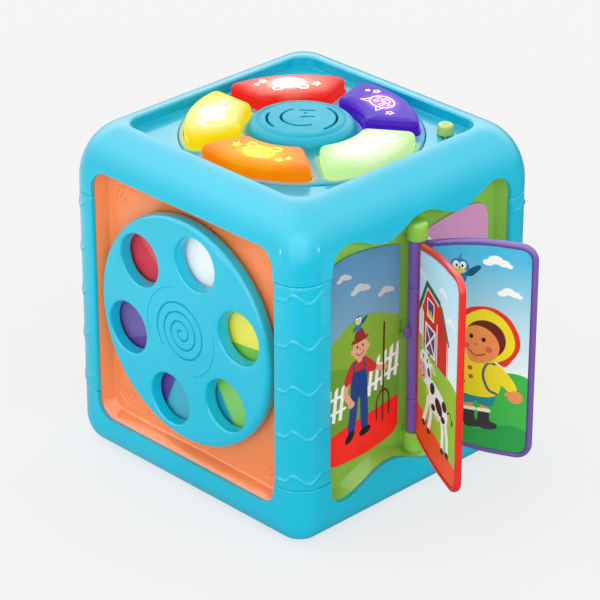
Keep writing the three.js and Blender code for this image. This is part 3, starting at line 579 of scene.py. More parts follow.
def base_cover(material):
    shape = Moulding()
    rings = [(BASE_FLOOR, outside(WALL)), (SEAM_LOW, outside(WALL)), (SEAM_LOW, outside(0.35)),
             (SEAM_LOW - 0.35, outside(0))]
    for angle in quarter(10):
        rings.append((FOOT_RISE * (1 - math.sin(angle)), outside(FOOT_REACH * (1 - math.cos(angle)))))
    inside, bottom = shape.skin(rings)
    shape.cap(inside)
    (x0, x1), (y0, y1) = span("battery_door", 0), span("battery_door", 1)

    def doorway(inset):
        return rounded(x0 - DOOR_GAP + inset, x1 + DOOR_GAP - inset,
                       y0 - DOOR_GAP + inset, y1 + DOOR_GAP - inset, 1.2, 4)
    mouth, shelf = shape.skin([(0.0, doorway(-0.4)), (0.4, doorway(0)), (DOOR_SHELF, doorway(0))])
    cells = rounded(x0 + 1, x1 - 1, y0 + 1, span("battery_contact_back", 1)[1] + 0.3, 1.0, 4)
    room, roof = shape.skin([(DOOR_SHELF, cells), (CELL_ROOF, cells)])
    shape.cap(shelf, room)
    shape.cap(roof)
    holes = []
    for x in (-SCREW_PLACE, SCREW_PLACE):
        for y in (-SCREW_PLACE, SCREW_PLACE):
            hole = circle(x, y, SCREW_HOLE, 32)
            rim, end = shape.skin([(0.0, circle(x, y, 3.7, 32)), (0.4, hole), (SCREW_HOLE_DEPTH, hole)])
            shape.cap(end)
            holes.append(rim)
    shape.cap(bottom, mouth, *holes, pitch=14.0)
    return piece("base_cover_fine", with_openings(shape), WHOLE, material, nodes=["base_cover"],
                 weighted=True)


RIBS = 5
RIB_PITCH = 29.6
RIB_SWING = 2.8
RIB_PERIOD = 20.0
RIB_CREST = -6.5  # where the first crest is, measured from the middle of the post
RIB_HALF = 2.1


def rib_height(along):
    """Height of a rib over its middle line: a dip, a crest, a trough and the rise to a second crest."""
    beyond = RIB_CREST - along
    if beyond > 0:
        return RIB_SWING - 4.0 * (0.5 - 0.5 * math.cos(math.pi * min(1.0, beyond / 4.6)))
    return RIB_SWING * math.cos(TAU * beyond / RIB_PERIOD)


def post_section(window_x, window_y):
    """Outline of a corner post in the quarter where x and y are positive: outer points and inner points, each
    (x, y, normal x, normal y). Inner points have no normal."""
    outer = []
    centre = HALF - CORNER
    for x, y in arc(0, 0, 1, -QUARTER, 0, 6):
        outer.append((HALF - LIP + LIP * x, window_y + LIP + LIP * y, x, y))
    steps = 70
    for x, y in arc(0, 0, 1, 0, QUARTER, steps):
        outer.append((centre + CORNER * x, centre + CORNER * y, x, y))
    for x, y in arc(0, 0, 1, QUARTER, 2 * QUARTER, 6):
        outer.append((window_x + LIP + LIP * x, HALF - LIP + LIP * y, x, y))
    inner = [(window_x, HALF - WALL, 0, 0)]
    inner += [(x, y, 0, 0) for x, y in arc(centre, centre, CORNER - WALL, QUARTER, 0, 12)]
    inner.append((HALF - WALL, window_y, 0, 0))
    return outer, inner


def corner_post(name, sign_x, sign_y, window_x, window_y, material):
    """A post wrapped by wavy ribs."""
    low, high = SEAM_LOW + GAP, SEAM_HIGH - GAP
    outer, inner = post_section(window_x, window_y)
    ribs = [(low + high) / 2 + RIB_PITCH * (i - (RIBS - 1) / 2) - 0.5 for i in range(RIBS)]
    heights = [low, low + 0.35]
    for rib in ribs:
        steps = 26
        reach = RIB_SWING + RIB_HALF
        heights += [rib - reach + 2 * reach * i / steps for i in range(steps + 1)]
    heights += [high - 0.35, high]
    shape = Moulding()
    travel = [0.0]
    for first, second in zip(outer, outer[1:]):
        travel.append(travel[-1] + math.hypot(second[0] - first[0], second[1] - first[1]))
    middle = travel[-1] / 2

    def relief(along, height):
        fade = min(1.0, max(0.0, (middle - abs(along - middle) - 2.6) / 2.0))
        best = 0.0
        for rib in ribs:
            gap = abs(height - rib - rib_height((along - middle) * sign_x * sign_y))
            if gap < RIB_HALF:
                best = 0.7 * (0.5 + 0.5 * math.cos(math.pi * gap / RIB_HALF))
        return best * fade
    rings = []
    for height in heights:
        pull = -0.35 if height in (low, high) else 0.0
        points = []
        for (x, y, nx, ny), along in zip(outer, travel):
            out = relief(along, height) + pull
            points.append((sign_x * (x + nx * out), sign_y * (y + ny * out)))
        points += [(sign_x * x, sign_y * y) for x, y, _, _ in inner]
        rings.append((height, points))
    return piece(name + "_fine", shape.solid(rings), WHOLE, material, nodes=[name], sharp=50)


# ---------------------------------------------------------------- top: deck, keys, switch
DECK_PAINTED_SHADE = 0.86  # painted shade: the deck is this share as bright as the covers
DECK_GAP = 0.45  # between the deck and the mouth it sits in
KEY_CENTRE = 54.0
KEY_NAMES = ("green", "purple", "red", "yellow", "orange")
KEY_INNER, KEY_OUTER = 37.0, 70.5
KEY_SPACE = 8.0
KEY_LOW, KEY_SHELF = 201.0, 203.8  # bottom of a key, and top of the skirt that holds it under the deck
KEY_SKIRT, KEY_GAP = 1.3, 0.4
KEY_ROUND = 3.4
SPILL_REACH = 2.8  # how far the light of the keys reaches over the deck
KEY_TOP = span("key_green", 2)[1]


def key_outline(grow, turn=0.0):
    """A key centred on +X, or turned, grown by grow."""
    radius = max(5.5 + grow, 1.0)
    away = KEY_SPACE / 2 - grow + radius
    tilt = math.pi / 5
    far, near = KEY_OUTER + grow - radius, KEY_INNER - grow + radius
    a, b = tilt - math.asin(away / far), tilt - math.asin(away / near)

    def corner(distance, angle, start, end):
        return arc(distance * math.cos(angle), distance * math.sin(angle), radius, start, end, 7)
    points = arc(0, 0, KEY_OUTER + grow, -a, a, 24)
    points += corner(far, a, a, tilt + QUARTER)[1:]
    points += corner(near, b, tilt + QUARTER, b + math.pi)[:-1]
    points += arc(0, 0, KEY_INNER - grow, b, -b, 14)
    points += corner(near, -b, -b + math.pi, -tilt + 3 * QUARTER)[1:]
    points += corner(far, -a, -tilt - QUARTER, -a)[:-1]
    cosine, sine = math.cos(turn), math.sin(turn)
    return [(x * cosine - y * sine, x * sine + y * cosine) for x, y in points]


def spill_light(made):
    """Stores on every vertex of the deck or its frame the colour that the nearest lit keys throw on it."""
    layer = made.data.color_attributes.new("spill", "FLOAT_COLOR", "POINT")
    keys = []
    for i, name in enumerate(KEY_NAMES):
        outline = [Vector(p) for p in key_outline(0.0, TAU * i / len(KEY_NAMES))]
        keys.append((KEY_LIGHT[name][3], list(zip(outline, outline[1:] + outline[:1]))))
    for vertex, item in zip(made.data.vertices, layer.data):
        spot = Vector((vertex.co.x, vertex.co.y)) / MM
        glow, cover = Vector((0.0, 0.0, 0.0)), 0.0
        if RECESS_FLOOR - 1 < vertex.co.z / MM < DECK_TOP + 2 and spot.length < DECK_RADIUS + 16:
            for colour, sides in keys:
                gap = min(away_from(spot, a, b) for a, b in sides)
                share = 0.9 * math.exp(-(gap / SPILL_REACH) ** 1.5)
                glow += Vector(colour[:3]) * share
                cover = max(cover, share)
        item.color = (*glow, 1.0) if cover > 0.01 else grey(0.0)


def away_from(spot, a, b):
    """Distance from a point to a segment."""
    along = b - a
    share = min(1.0, max(0.0, (spot - a).dot(along) / max(along.length_squared, 1e-9)))
    return (a + along * share - spot).length


BOSS_TOP = 217.0
BOSS_DOME = 1.2
BOSS = [(DECK_TOP, 33.6), (DECK_TOP + 0.3, 33.1), (DECK_TOP + 1.2, 32.7), (211.8, 32.4), (213.2, 31.9),
        (214.4, 31.0), (215.4, 29.9), (216.0, 28.7), (216.2, 27.8), (216.0, 27.2), (215.6, 26.9),
        (215.5, 26.4), (215.8, 25.9), (216.4, 25.5), (BOSS_TOP, 24.9)]  # height and radius of the speaker boss


def key_deck(material):
    shape = Moulding()
    low = span("key_deck", 2)[0]
    rim = rounding(lambda inset: circle(0, 0, DECK_RADIUS - inset, 120), DECK_TOP, 0.8, 4)
    under, edge = shape.skin([(low, circle(0, 0, DECK_RADIUS, 120))] + rim)
    foot, plate = shape.skin([(height, circle(0, 0, radius, 96)) for height, radius in BOSS])
    apertures, shafts = [], []
    for i in range(len(KEY_NAMES)):
        turn = TAU * i / len(KEY_NAMES)
        top, bottom = shape.skin([(DECK_TOP, key_outline(0.7, turn)),
                                  (DECK_TOP - 0.5, key_outline(0.2, turn)),
                                  (low, key_outline(0.2, turn))])
        apertures.append(top)
        shafts.append(bottom)
    shape.cap(edge, foot, *apertures, pitch=3.0)
    shape.cap(under, *shafts)
    degree = TAU / 360
    slots = [arc(0, 0, 21.0, 205 * degree, 262 * degree, 18), arc(0, 0, 21.0, -5 * degree, 88 * degree, 26),
             arc(0, 0, 12.5, 160 * degree, 342 * degree, 36), [(-8.0, 6.2), (-4.6, 8.6), (-1.4, 12.2)],
             [(-2.4, 4.6), (-1.6, 5.4)], [(0.0, -0.6), (2.4, 2.4), (5.2, 5.0)]]
    openings = [shape.groove(path, 1.8, 6.0, BOSS_TOP) for path in slots]
    shape.cap(plate, *openings, pitch=3.0)

    def dome(p):
        radius = math.hypot(p.x, p.y)
        if p.z > 210 and radius < 25:
            return Vector((p.x, p.y, p.z + BOSS_DOME * (1 - (radius / 25) ** 2)))
        return p
    shape.reshape(dome)
    made = piece("key_deck_fine", shape, WHOLE, material, nodes=["key_deck"], sharp=45)
    spill_light(made)
    return made


def key(name, turn, material):
    shape = Moulding()
    skirt, walls = key_outline(KEY_SKIRT, turn), key_outline(-KEY_GAP, turn)
    rings = [(KEY_LOW, skirt), (KEY_SHELF - 0.2, skirt), (KEY_SHELF, walls)]
    rings += rounding(lambda inset: key_outline(-KEY_GAP - inset * 0.95, turn),
                      KEY_TOP - 0.6, KEY_ROUND, 7)[:-1]
    rings += [(KEY_TOP - 0.35, key_outline(-5.2, turn)), (KEY_TOP - 0.1, key_outline(-7.0, turn))]
    shape.solid(rings, pitch=2.5)
    centre = Vector((KEY_CENTRE * math.cos(turn), KEY_CENTRE * math.sin(turn)))

    def crown(p):
        if p.z < KEY_TOP - 0.15:
            return p
        reach = (Vector((p.x, p.y)) - centre).length
        return Vector((p.x, p.y, p.z + 0.1 * max(0.0, 1 - (reach / 14) ** 2)))
    shape.reshape(crown)
    return piece(f"key_{name}_fine", shape, WHOLE, material, body=f"key_{name}", nodes=[f"key_{name}"],
                 sharp=60)


def switch_knob(material):
    shape = Moulding()
    low, high = RECESS_FLOOR + GAP, span("switch_knob", 2)[1]
    rings = [(low, circle(SWITCH.x, SWITCH.y, 4.6, 48)), (low + 0.3, circle(SWITCH.x, SWITCH.y, 5.1, 48))]
    rings += rounding(lambda inset: circle(SWITCH.x, SWITCH.y, 4.9 - inset, 48), high - 0.5, 1.8, 6)
    first, last = shape.skin(rings)
    shape.cap(first)
    ridges = []
    for step in (-1.3, 0.0, 1.3):
        middle = SWITCH + SLIDE * step
        across = Vector((SLIDE.y, -SLIDE.x)) * (2.0 - abs(step) * 0.4)
        ridges.append(shape.groove([tuple(middle - across), tuple(middle + across)], 0.7, -0.4, high - 0.5))
    shape.cap(last, *ridges)
    return piece("switch_knob_fine", shape, WHOLE, material, body="switch_knob", nodes=["switch_knob"])


# ---------------------------------------------------------------- trays and the wheel side
def tray_rings(outline):
    """Sections of a shallow dish with a flange, from its back over the lip to its floor."""
    return [(TRAY_BACK, outline(1.8)), (-5.6, outline(-2.0)), (-5.6, outline(-2.5)), (-3.0, outline(-2.5)),
            (-3.0, outline(-0.1)), (-3.3, outline(0.2)), (TRAY_FLOOR + 1.6, outline(3.2)),
            (TRAY_FLOOR + 0.6, outline(3.7)), (TRAY_FLOOR, outline(4.8)), (TRAY_FLOOR, outline(5.4))]


def tray(outline, name, material, node, floor_holes=(), marks=(), back_shape=None):
    """A shallow dish behind an opening. floor_holes are outlines(inset) that pass through its floor."""
    shape = Moulding()
    behind, floor = shape.skin(tray_rings(outline))
    mouths, ends = [], []
    for hole in floor_holes:
        mouth, end = shape.skin([(TRAY_FLOOR, hole(-1.0)), (TRAY_FLOOR - 0.3, hole(-0.4)),
                                 (TRAY_FLOOR - 0.9, hole(0)),
                                 (TRAY_BACK, hole(0))])
        mouths.append(mouth)
        ends.append(end)
    mouths += [shape.groove(path, width, depth, TRAY_FLOOR) for path, width, depth in marks]
    shape.cap(floor, *mouths, pitch=12.0)
    shape.cap(behind, *ends)
    if back_shape:
        back_shape(shape)
    return piece(name, shape, *material, nodes=[node], sharp=45)


HOLES = 6
HOLE_CIRCLE = 50.5
HOLE_RADIUS = 16.0
HOLE_START = math.radians(16.5)
WHEEL_FACE = -HALF - span("wheel", 1)[0]  # depth of the front of the wheel, negative
WHEEL_BACK = -9.6
WHEEL_ROUND_DEPTH, WHEEL_ROUND_WIDTH = 3.4, 4.2
HOLE_PROFILE = [(0.0, 1.6), (-0.1, 1.35), (-0.4, 1.05), (-1.0, 0.75), (-2.2, 0.5), (-4.2, 0.3), (-5.6, 0.1),
                (-5.9, 0.0), (-6.9, 0.0), (-6.9, 2.6)]  # depth under the face, added to the radius
HOLE_BACK_MORE = 2.6
HUB_END, HUB_RADIUS = -24.0, 6.0
DOME_RISE = 1.0  # how much higher the middle of the wheel is than its edge
DOME_DEPTH = 6.3  # the doming reaches this far under the face


def spiral(turns, start, end, phase, steps, centre):
    """Points of a spiral that opens anticlockwise."""
    points = []
    for i in range(steps + 1):
        share = i / steps
        radius = start + (end - start) * share
        angle = phase + TAU * turns * share
        points.append((radius * math.cos(angle), centre + radius * math.sin(angle)))
    return points


def wheel(material):
    """Domed disc with six round holes and a spiral pressed into its face, on a plain hub."""
    face, middle = WHEEL_FACE, WHEEL_MID
    shape = Moulding()

    def rim(inset):
        return circle(0, middle, WHEEL_RADIUS - inset, 160)
    rings = [(WHEEL_BACK, rim(1.2)), (WHEEL_BACK + 0.4, rim(0.3)), (WHEEL_BACK + 1.2, rim(0))]
    for angle in quarter(9):
        height = face - WHEEL_ROUND_DEPTH + WHEEL_ROUND_DEPTH * math.sin(angle)
        rings.append((height, rim(WHEEL_ROUND_WIDTH * (1 - math.cos(angle)))))
    rings.append((face, rim(WHEEL_ROUND_WIDTH + 0.4)))
    behind, front = shape.skin(rings)
    mouths, ends = [], []
    for i in range(HOLES):
        angle = HOLE_START + TAU * i / HOLES
        x, y = HOLE_CIRCLE * math.cos(angle), middle + HOLE_CIRCLE * math.sin(angle)
        profile = HOLE_PROFILE + [(WHEEL_BACK - face, HOLE_BACK_MORE)]
        loops = [(face + drop, circle(x, y, HOLE_RADIUS + more, 72)) for drop, more in profile]
        mouth, end = shape.skin(loops)
        mouths.append(mouth)
        ends.append(end)
    mouths.append(shape.groove(spiral(3.4, 1.2, 21.5, math.radians(75), 190, middle), 1.3, 1.3, face))
    mouths.append(shape.groove(spiral(0.9, 27.6, 30.5, math.radians(-68), 90, middle), 0.8, 0.5, face))
    shape.cap(front, *mouths, pitch=3.0)
    shape.cap(behind, *ends)

    def dome(p):
        if p.z < face - DOME_DEPTH:
            return p
        share = math.hypot(p.x, p.y - middle) / WHEEL_RADIUS
        return Vector((p.x, p.y, p.z + DOME_RISE * max(0.0, 1 - share ** 2)))
    shape.reshape(dome)
    shape.pin(0, middle, HUB_END, WHEEL_BACK + 0.5, HUB_RADIUS)
    return piece("wheel_fine", shape, FRONT, material, body="wheel", nodes=["wheel"], sharp=50)


def wheel_panel(material):
    """Orange tray with faint curls pressed into its corners."""
    marks = []
    for sx in (-1, 1):
        for sy, height in ((-1, WINDOW_LOW), (1, WINDOW_HIGH)):
            x, y = sx * (WINDOW_HALF - 20), height - sy * 20
            for radius, start in ((4.0, 0.4), (7.5, 0.7), (11.0, 0.95)):
                base = math.atan2(sy, sx)
                marks.append((arc(x, y, radius, base - start / 2 - 0.2, base + start / 2 + 0.2, 8), 0.7, 0.3))
    return tray(plain_window, "wheel_panel_fine", (FRONT, material, "housing"), "wheel_panel", marks=marks)


# ---------------------------------------------------------------- printed pictures
def oval(cx, cy, rx, ry=None, tilt=0.0, steps=28):
    ry = rx if ry is None else ry
    cosine, sine = math.cos(tilt), math.sin(tilt)
    return [(cx + rx * math.cos(a) * cosine - ry * math.sin(a) * sine,
             cy + rx * math.cos(a) * sine + ry * math.sin(a) * cosine)
            for a in (TAU * i / steps for i in range(steps))]


def soft(points, steps=6):
    """Closed smooth curve through the points."""
    made = []
    count = len(points)
    for i in range(count):
        p0, p1, p2, p3 = (Vector(points[(i + k - 1) % count]) for k in range(4))
        for j in range(steps):
            t = j / steps
            made.append(tuple(0.5 * (2 * p1 + (p2 - p0) * t + (2 * p0 - 5 * p1 + 4 * p2 - p3) * t * t
                                     + (3 * p1 - p0 - 3 * p2 + p3) * t ** 3)))
    return made


def bent(points, steps=8):
    """Open smooth curve through the points."""
    line = [Vector(p) for p in points]
    line = [2 * line[0] - line[1]] + line + [2 * line[-1] - line[-2]]
    made = []
    for i in range(1, len(line) - 2):
        p0, p1, p2, p3 = line[i - 1:i + 3]
        for j in range(steps):
            t = j / steps
            made.append(tuple(0.5 * (2 * p1 + (p2 - p0) * t + (2 * p0 - 5 * p1 + 4 * p2 - p3) * t * t
                                     + (3 * p1 - p0 - 3 * p2 + p3) * t ** 3)))
    return made + [tuple(line[-2])]


def stroke(points, width):
    """Outline of a line drawn with a round-ended pen."""
    left, right = [], []
    line = [Vector(p) for p in points]
    for i, point in enumerate(line):
        ahead = line[min(i + 1, len(line) - 1)] - line[max(i - 1, 0)]
        across = Vector((-ahead.y, ahead.x)).normalized() * width / 2
        left.append(point + across)
        right.append(point - across)
    heading = math.atan2(line[-1].y - line[-2].y, line[-1].x - line[-2].x)
    far = arc(line[-1].x, line[-1].y, width / 2, heading + QUARTER, heading - QUARTER, 6)[1:-1]
    heading = math.atan2(line[1].y - line[0].y, line[1].x - line[0].x)
    near = arc(line[0].x, line[0].y, width / 2, heading - QUARTER, heading - 3 * QUARTER, 6)[1:-1]
    return [tuple(p) for p in left] + far + [tuple(p) for p in right[::-1]] + near


def star(cx, cy, radius, tilt=0.0):
    return [(cx + r * math.cos(a), cy + r * math.sin(a)) for r, a in
            ((radius if i % 2 == 0 else radius * 0.48, tilt + QUARTER + math.pi * i / 5) for i in range(10))]


class Picture:
    """Shapes painted one over another inside an outline, made into a flat mesh with a colour on each face."""

    def __init__(self, outline, paint):
        self.shapes = [(outline, paint)]

    def add(self, paint, *outlines):
        self.shapes += [(outline, paint) for outline in outlines]

    def mesh(self, name, height):
        points, faces = [], []
        for outline, _ in self.shapes:
            start = len(points)
            points += [Vector(p) for p in outline]
            ids = list(range(start, len(points)))
            turning = sum(points[i].cross(points[j]) for i, j in zip(ids, ids[1:] + ids[:1]))
            faces.append(ids if turning > 0 else ids[::-1])
        found = geometry.delaunay_2d_cdt(points, [], faces, 1, 1e-4)
        verts, kept, colours, renumber = [], [], [], {}
        for face, origin in zip(found[2], found[5]):
            if 0 not in origin:
                continue
            paint = self.shapes[max(origin)][1]
            corners = []
            for i in face:
                if i not in renumber:
                    renumber[i] = len(verts)
                    verts.append((found[0][i].x, found[0][i].y, height))
                corners.append(renumber[i])
                colours.append(paint(found[0][i]) if callable(paint) else paint)
            kept.append(corners)
        mesh = bpy.data.meshes.new(name)
        mesh.from_pydata(verts, [], kept)
        layer = mesh.color_attributes.new("print", "FLOAT_COLOR", "CORNER")
        for item, colour in zip(layer.data, colours):
            item.color = colour
        return mesh


def fade(low, high, y0, y1):
    """Paint that runs from one colour at y0 to another at y1."""
    def paint(point):
        share = min(1.0, max(0.0, (point.y - y0) / (y1 - y0)))
        return tuple(a + (b - a) * share for a, b in zip(low, high))
    return paint


def printed(name, roughness=0.42, grain=0.04):
    """Ink on laminated paper: a little uneven, under a satin film."""
    nodes = Nodes(name)
    ink = nodes.add("ShaderNodeAttribute", attribute_name="print")
    uneven = nodes.uneven(60.0, 0.3, 0.7, 0.0, 0.015, detail=4.0)
    nodes.put("Base Color", nodes.mix(uneven, ink.outputs["Color"], rgb(250, 248, 240)))
    nodes.put("Roughness", nodes.uneven(35.0, 0.35, 0.7, roughness - 0.05, roughness + 0.12, detail=5.0))
    nodes.bump(nodes.noise(900.0, 3.0), grain)
    nodes.put("Specular IOR Level", 0.15)
    return nodes.material


PAPER = 0.45  # thickness of a printed sheet


def sheet(name, picture, height, place, material, body="housing", nodes=()):
    """A printed sheet, as thick as PAPER."""
    mesh = picture.mesh(name, height)
    mesh.transform(place)
    mesh.materials.append(material)
    made = placed(name, mesh)
    paper = made.modifiers.new("paper", "SOLIDIFY")
    paper.thickness = PAPER * MM
    paper.offset = -1.0
    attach(made, body)
    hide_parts(*nodes)
    return made


def colour_disc(material):
    """Six sectors of colour, speckled, that show through the windows."""
    middle = WHEEL_MID
    radius = span("colour_disc", 0)[1]
    bounds = [303, 366, 417, 467, 526, 607, 663]
    paints = [rgb(120, 200, 84), rgb(246, 232, 70), rgb(250, 250, 252), rgb(216, 58, 76), rgb(94, 66, 152),
              rgb(24, 170, 192)]
    picture = Picture(circle(0, middle, radius, 120), rgb(240, 240, 240))
    for start, end, paint in zip(bounds, bounds[1:], paints):
        a, b = math.radians(start), math.radians(end)
        picture.add(paint, arc(0, middle, radius - 0.2, a, b, 24) + [(0, middle)])
        # painted highlight: the outer part of one half of each sector is painted a little lighter
        lighter = tuple(c + (1 - c) * 0.06 for c in paint[:3]) + (1.0,)
        half = (a + b) / 2
        picture.add(lighter, arc(0, middle, radius - 0.2, a + 0.02, half, 12)
                    + arc(0, middle, 38, half, a + 0.02, 12))
    return sheet("colour_disc_fine", picture, TRAY_FLOOR + 1.1, FRONT, material, nodes=["colour_disc"])


SKY_HIGH, SKY_LOW = rgb(92, 190, 226), rgb(236, 246, 250)
WHITE = rgb(250, 250, 248)
INK = rgb(26, 24, 30)


def ground(*line):
    """Everything below a smooth line."""
    line = bent(line)
    return line + [(line[-1][0], 0.0), (line[0][0], 0.0)]


def cloud(picture, x, y, size, paint=WHITE):
    for dx, dy, r in ((-0.9, 0.0, 0.55), (-0.2, 0.35, 0.75), (0.6, 0.1, 0.6), (1.15, -0.12, 0.35)):
        picture.add(paint, oval(x + dx * size, y + dy * size, r * size, r * size * 0.62, 0.0, 20))


def bird(picture, x, y, size, facing=1):
    """A round blue bird with a raised wing, looking at the reader."""
    body, dark = rgb(30, 128, 176), rgb(18, 84, 128)
    f = facing * size
    picture.add(dark, soft([(x + 0.4 * f, y - 0.3 * size), (x + 1.7 * f, y + 0.7 * size),
                            (x + 2.1 * f, y + 0.5 * size), (x + 1.2 * f, y - 0.5 * size)]))
    picture.add(dark, soft([(x - 0.3 * f, y - 0.8 * size), (x - 1.3 * f, y - 1.6 * size),
                            (x - 0.9 * f, y - 0.7 * size)]))
    picture.add(body, oval(x, y - 0.7 * size, 0.75 * size, 0.8 * size),
                oval(x, y + 0.3 * size, 0.95 * size, 0.9 * size))
    picture.add(body, stroke([(x, y + 1.1 * size), (x + 0.1 * f, y + 1.6 * size)], 0.14 * size))
    for dx in (-0.34, 0.34):
        picture.add(WHITE, oval(x + dx * size, y + 0.5 * size, 0.33 * size, 0.4 * size))
        picture.add(INK, oval(x + dx * 0.8 * size, y + 0.42 * size, 0.12 * size, 0.16 * size, 0.0, 14))
    picture.add(rgb(240, 214, 60), soft([(x - 0.7 * size, y + 0.0 * size), (x, y + 0.15 * size),
                                         (x + 0.7 * size, y), (x, y - 0.45 * size)]))


def farm_picture():
    """Farmer with a fork in front of a fence and hills."""
    top = bent([(-7.2, 163.0), (-9.0, 167.5), (-25.0, 171.6), (-42.0, 174.0), (-56.0, 173.6), (-65.0, 169.2),
                (-68.8, 160.0)])
    low = bent([(-68.8, 50.0), (-66.5, 42.0), (-60.0, 38.6), (-46.0, 37.9), (-30.0, 38.6), (-12.0, 42.6),
                (-7.2, 48.0)])
    picture = Picture(top + low, fade(rgb(126, 172, 202), rgb(84, 142, 184), 122, 172))
    for x, y, size in ((-53.5, 160.5, 4.2), (-40.0, 149.0, 5.6), (-18.5, 140.5, 4.8)):
        cloud(picture, x, y, size, rgb(200, 202, 204))
    picture.add(rgb(136, 176, 52), ground((-75, 112), (-62, 122), (-45, 131), (-28, 130), (-14, 124.5),
                                          (0, 118)))
    picture.add(rgb(112, 162, 52), ground((-75, 104), (-60, 104), (-46, 99), (-30, 92), (-14, 93), (0, 96)))
    for x, y in ((-66, 80), (-60.5, 81), (-55, 81), (-31, 88), (-25.5, 90), (-20, 91.5), (-14.5, 93),
                 (-9, 94)):
        picture.add(WHITE, [(x - 2.6, y - 12), (x + 0.2, y - 12.6), (x + 2.6, y + 8), (x + 2.4, y + 11),
                            (x - 0.2, y + 8.5)])
    for y in (-6.5, 3.0):
        picture.add(WHITE, stroke([(-70, 81 + y), (-52, 82 + y)], 1.9),
                    stroke([(-34, 88 + y), (-4, 95 + y)], 1.9))
    picture.add(rgb(255, 34, 22), ground((-75, 55), (-60, 60.5), (-40, 63.5), (-20, 66), (0, 69)))
    shirt, cloth, skin = rgb(206, 44, 48), rgb(30, 66, 142), rgb(236, 172, 142)
    for x, lean in ((-44.0, -4.6), (-36.5, 1.6)):
        picture.add(cloth, stroke(bent([(x, 82), (x + lean * 0.3, 68), (x + lean * 0.6, 58)]), 6.4))
        picture.add(INK, oval(x + lean * 0.85, 53.8, 5.0, 2.7, 0.75 if lean < 0 else 0.2))
    picture.add(skin, stroke(bent([(-50, 92), (-51.6, 84), (-47.5, 77)]), 4.0), oval(-46.8, 75.4, 2.8, 2.3))
    picture.add(skin, stroke(bent([(-30, 96), (-25, 92.5), (-20.5, 91)]), 3.6), oval(-19.4, 90.6, 2.5, 2.2))
    picture.add(shirt, soft([(-48, 102), (-53, 93), (-50.5, 89), (-46, 94)]),
                soft([(-33, 102), (-26, 95), (-28, 91.5), (-34, 94)]))
    picture.add(shirt, soft([(-47.5, 102.5), (-40, 104), (-33, 102.5), (-32.5, 90), (-40, 87), (-48, 90)]))
    picture.add(cloth, soft([(-45.8, 95), (-40.4, 96), (-34.8, 95), (-33.6, 84), (-35, 79), (-46, 79),
                             (-47.4, 85)]))
    for dx in (-4.6, 4.6):
        picture.add(cloth, stroke([(-40.3 + dx, 94), (-40.3 + dx * 0.9, 103)], 1.3))
    picture.add(INK, oval(-40.3, 91, 0.5, 0.5, 0, 10), oval(-40.3, 86.5, 0.5, 0.5, 0, 10))
    picture.add(skin, oval(-40.0, 104.5, 2.2, 3.0), oval(-39.8, 110.5, 6.6, 6.4),
                oval(-46.4, 110.4, 1.3, 1.8), oval(-33.2, 110.4, 1.3, 1.8))
    picture.add(INK, oval(-42.2, 112.3, 0.75, 1.0, 0, 12), oval(-37.6, 112.3, 0.75, 1.0, 0, 12))
    picture.add(rgb(170, 50, 46), stroke(bent([(-43.2, 108.2), (-39.8, 106.3), (-36.4, 108.4)]), 0.7))
    picture.add(rgb(226, 130, 110), oval(-39.8, 110.4, 0.9, 0.9, 0, 12))
    picture.add(rgb(150, 42, 46), soft([(-44.3, 117), (-43, 123.5), (-38.5, 123.8), (-36, 117.5)]),
                oval(-40.2, 116.8, 7.4, 1.7, 0.08))
    shaft = rgb(84, 30, 24)
    picture.add(shaft, stroke([(-19.8, 120.5), (-20.2, 74)], 1.5))
    picture.add(shaft, stroke(bent([(-25.4, 57), (-25.2, 70), (-20.2, 76), (-15.4, 71), (-15.2, 58)]), 1.2))
    picture.add(shaft, stroke([(-20.2, 76), (-20.3, 55)], 1.2))
    bird(picture, -41.6, 128.4, 3.6)
    return picture


def path_picture():
    """A white path through a pink evening."""
    top = bent([(68.8, 160.0), (65.0, 168.6), (56.0, 172.4), (42.0, 172.6), (25.0, 171.0), (9.0, 167.5),
                (7.2, 163.0)])
    low = bent([(7.2, 48.0), (12.0, 42.6), (30.0, 38.6), (46.0, 37.9), (60.0, 38.6), (66.5, 42.0),
                (68.8, 50.0)])
    picture = Picture(top + low, fade(rgb(232, 166, 204), rgb(214, 146, 190), 60, 170))
    picture.add(rgb(206, 120, 176), ground((0, 120), (25, 128), (50, 118), (80, 132)))
    picture.add(WHITE, soft([(12, 168), (22, 160), (42, 150), (66, 144), (72, 136), (44, 142), (22, 152),
                             (8, 162)]))
    picture.add(rgb(120, 188, 84), ground((0, 86), (30, 92), (55, 84), (80, 90)))
    picture.add(WHITE, soft([(24, 90), (34, 90), (36, 74), (52, 60), (56, 34), (24, 34), (28, 58), (22, 74)]))
    for x, y, paint in ((16, 66, RED), (62, 72, YELLOW), (14, 50, YELLOW), (64, 50, RED)):
        for i in range(5):
            picture.add(paint, oval(x + 2.6 * math.cos(TAU * i / 5), y + 2.6 * math.sin(TAU * i / 5), 1.7))
        picture.add(WHITE, oval(x, y, 1.5))
    return picture


PAGE_LOW, PAGE_HIGH = 43.5, 171.0
PAGE_ROOT, PAGE_REACH = 6.5, 73.5
PAGE_BULGE = 7.0
PAGE_FRAME = 3.2
PAGE_CORNER = 10.0


def page_outline(inset, mirrored=False):
    """Half of an open book, from the spine out: x is the distance from the hinge axis."""
    radius = PAGE_CORNER - inset
    end, start = PAGE_REACH - inset - radius, PAGE_ROOT + inset
    steps = 30

    def rise(s):
        return PAGE_BULGE * math.sin(QUARTER * min(1.0, max(0.0, (s - PAGE_ROOT) / 46)))
    along = [start + (end - start) * i / steps for i in range(steps)]
    low, high = PAGE_LOW - rise(end) + inset, PAGE_HIGH + rise(end) - inset
    points = [(s, PAGE_LOW - rise(s) + inset) for s in along]
    points += arc(end, low + radius, radius, -QUARTER, 0, 10)
    points += arc(end, high - radius, radius, 0, QUARTER, 10)
    points += [(s, PAGE_HIGH + rise(s) - inset) for s in reversed(along)]
    return [(-x, y) for x, y in points] if mirrored else points


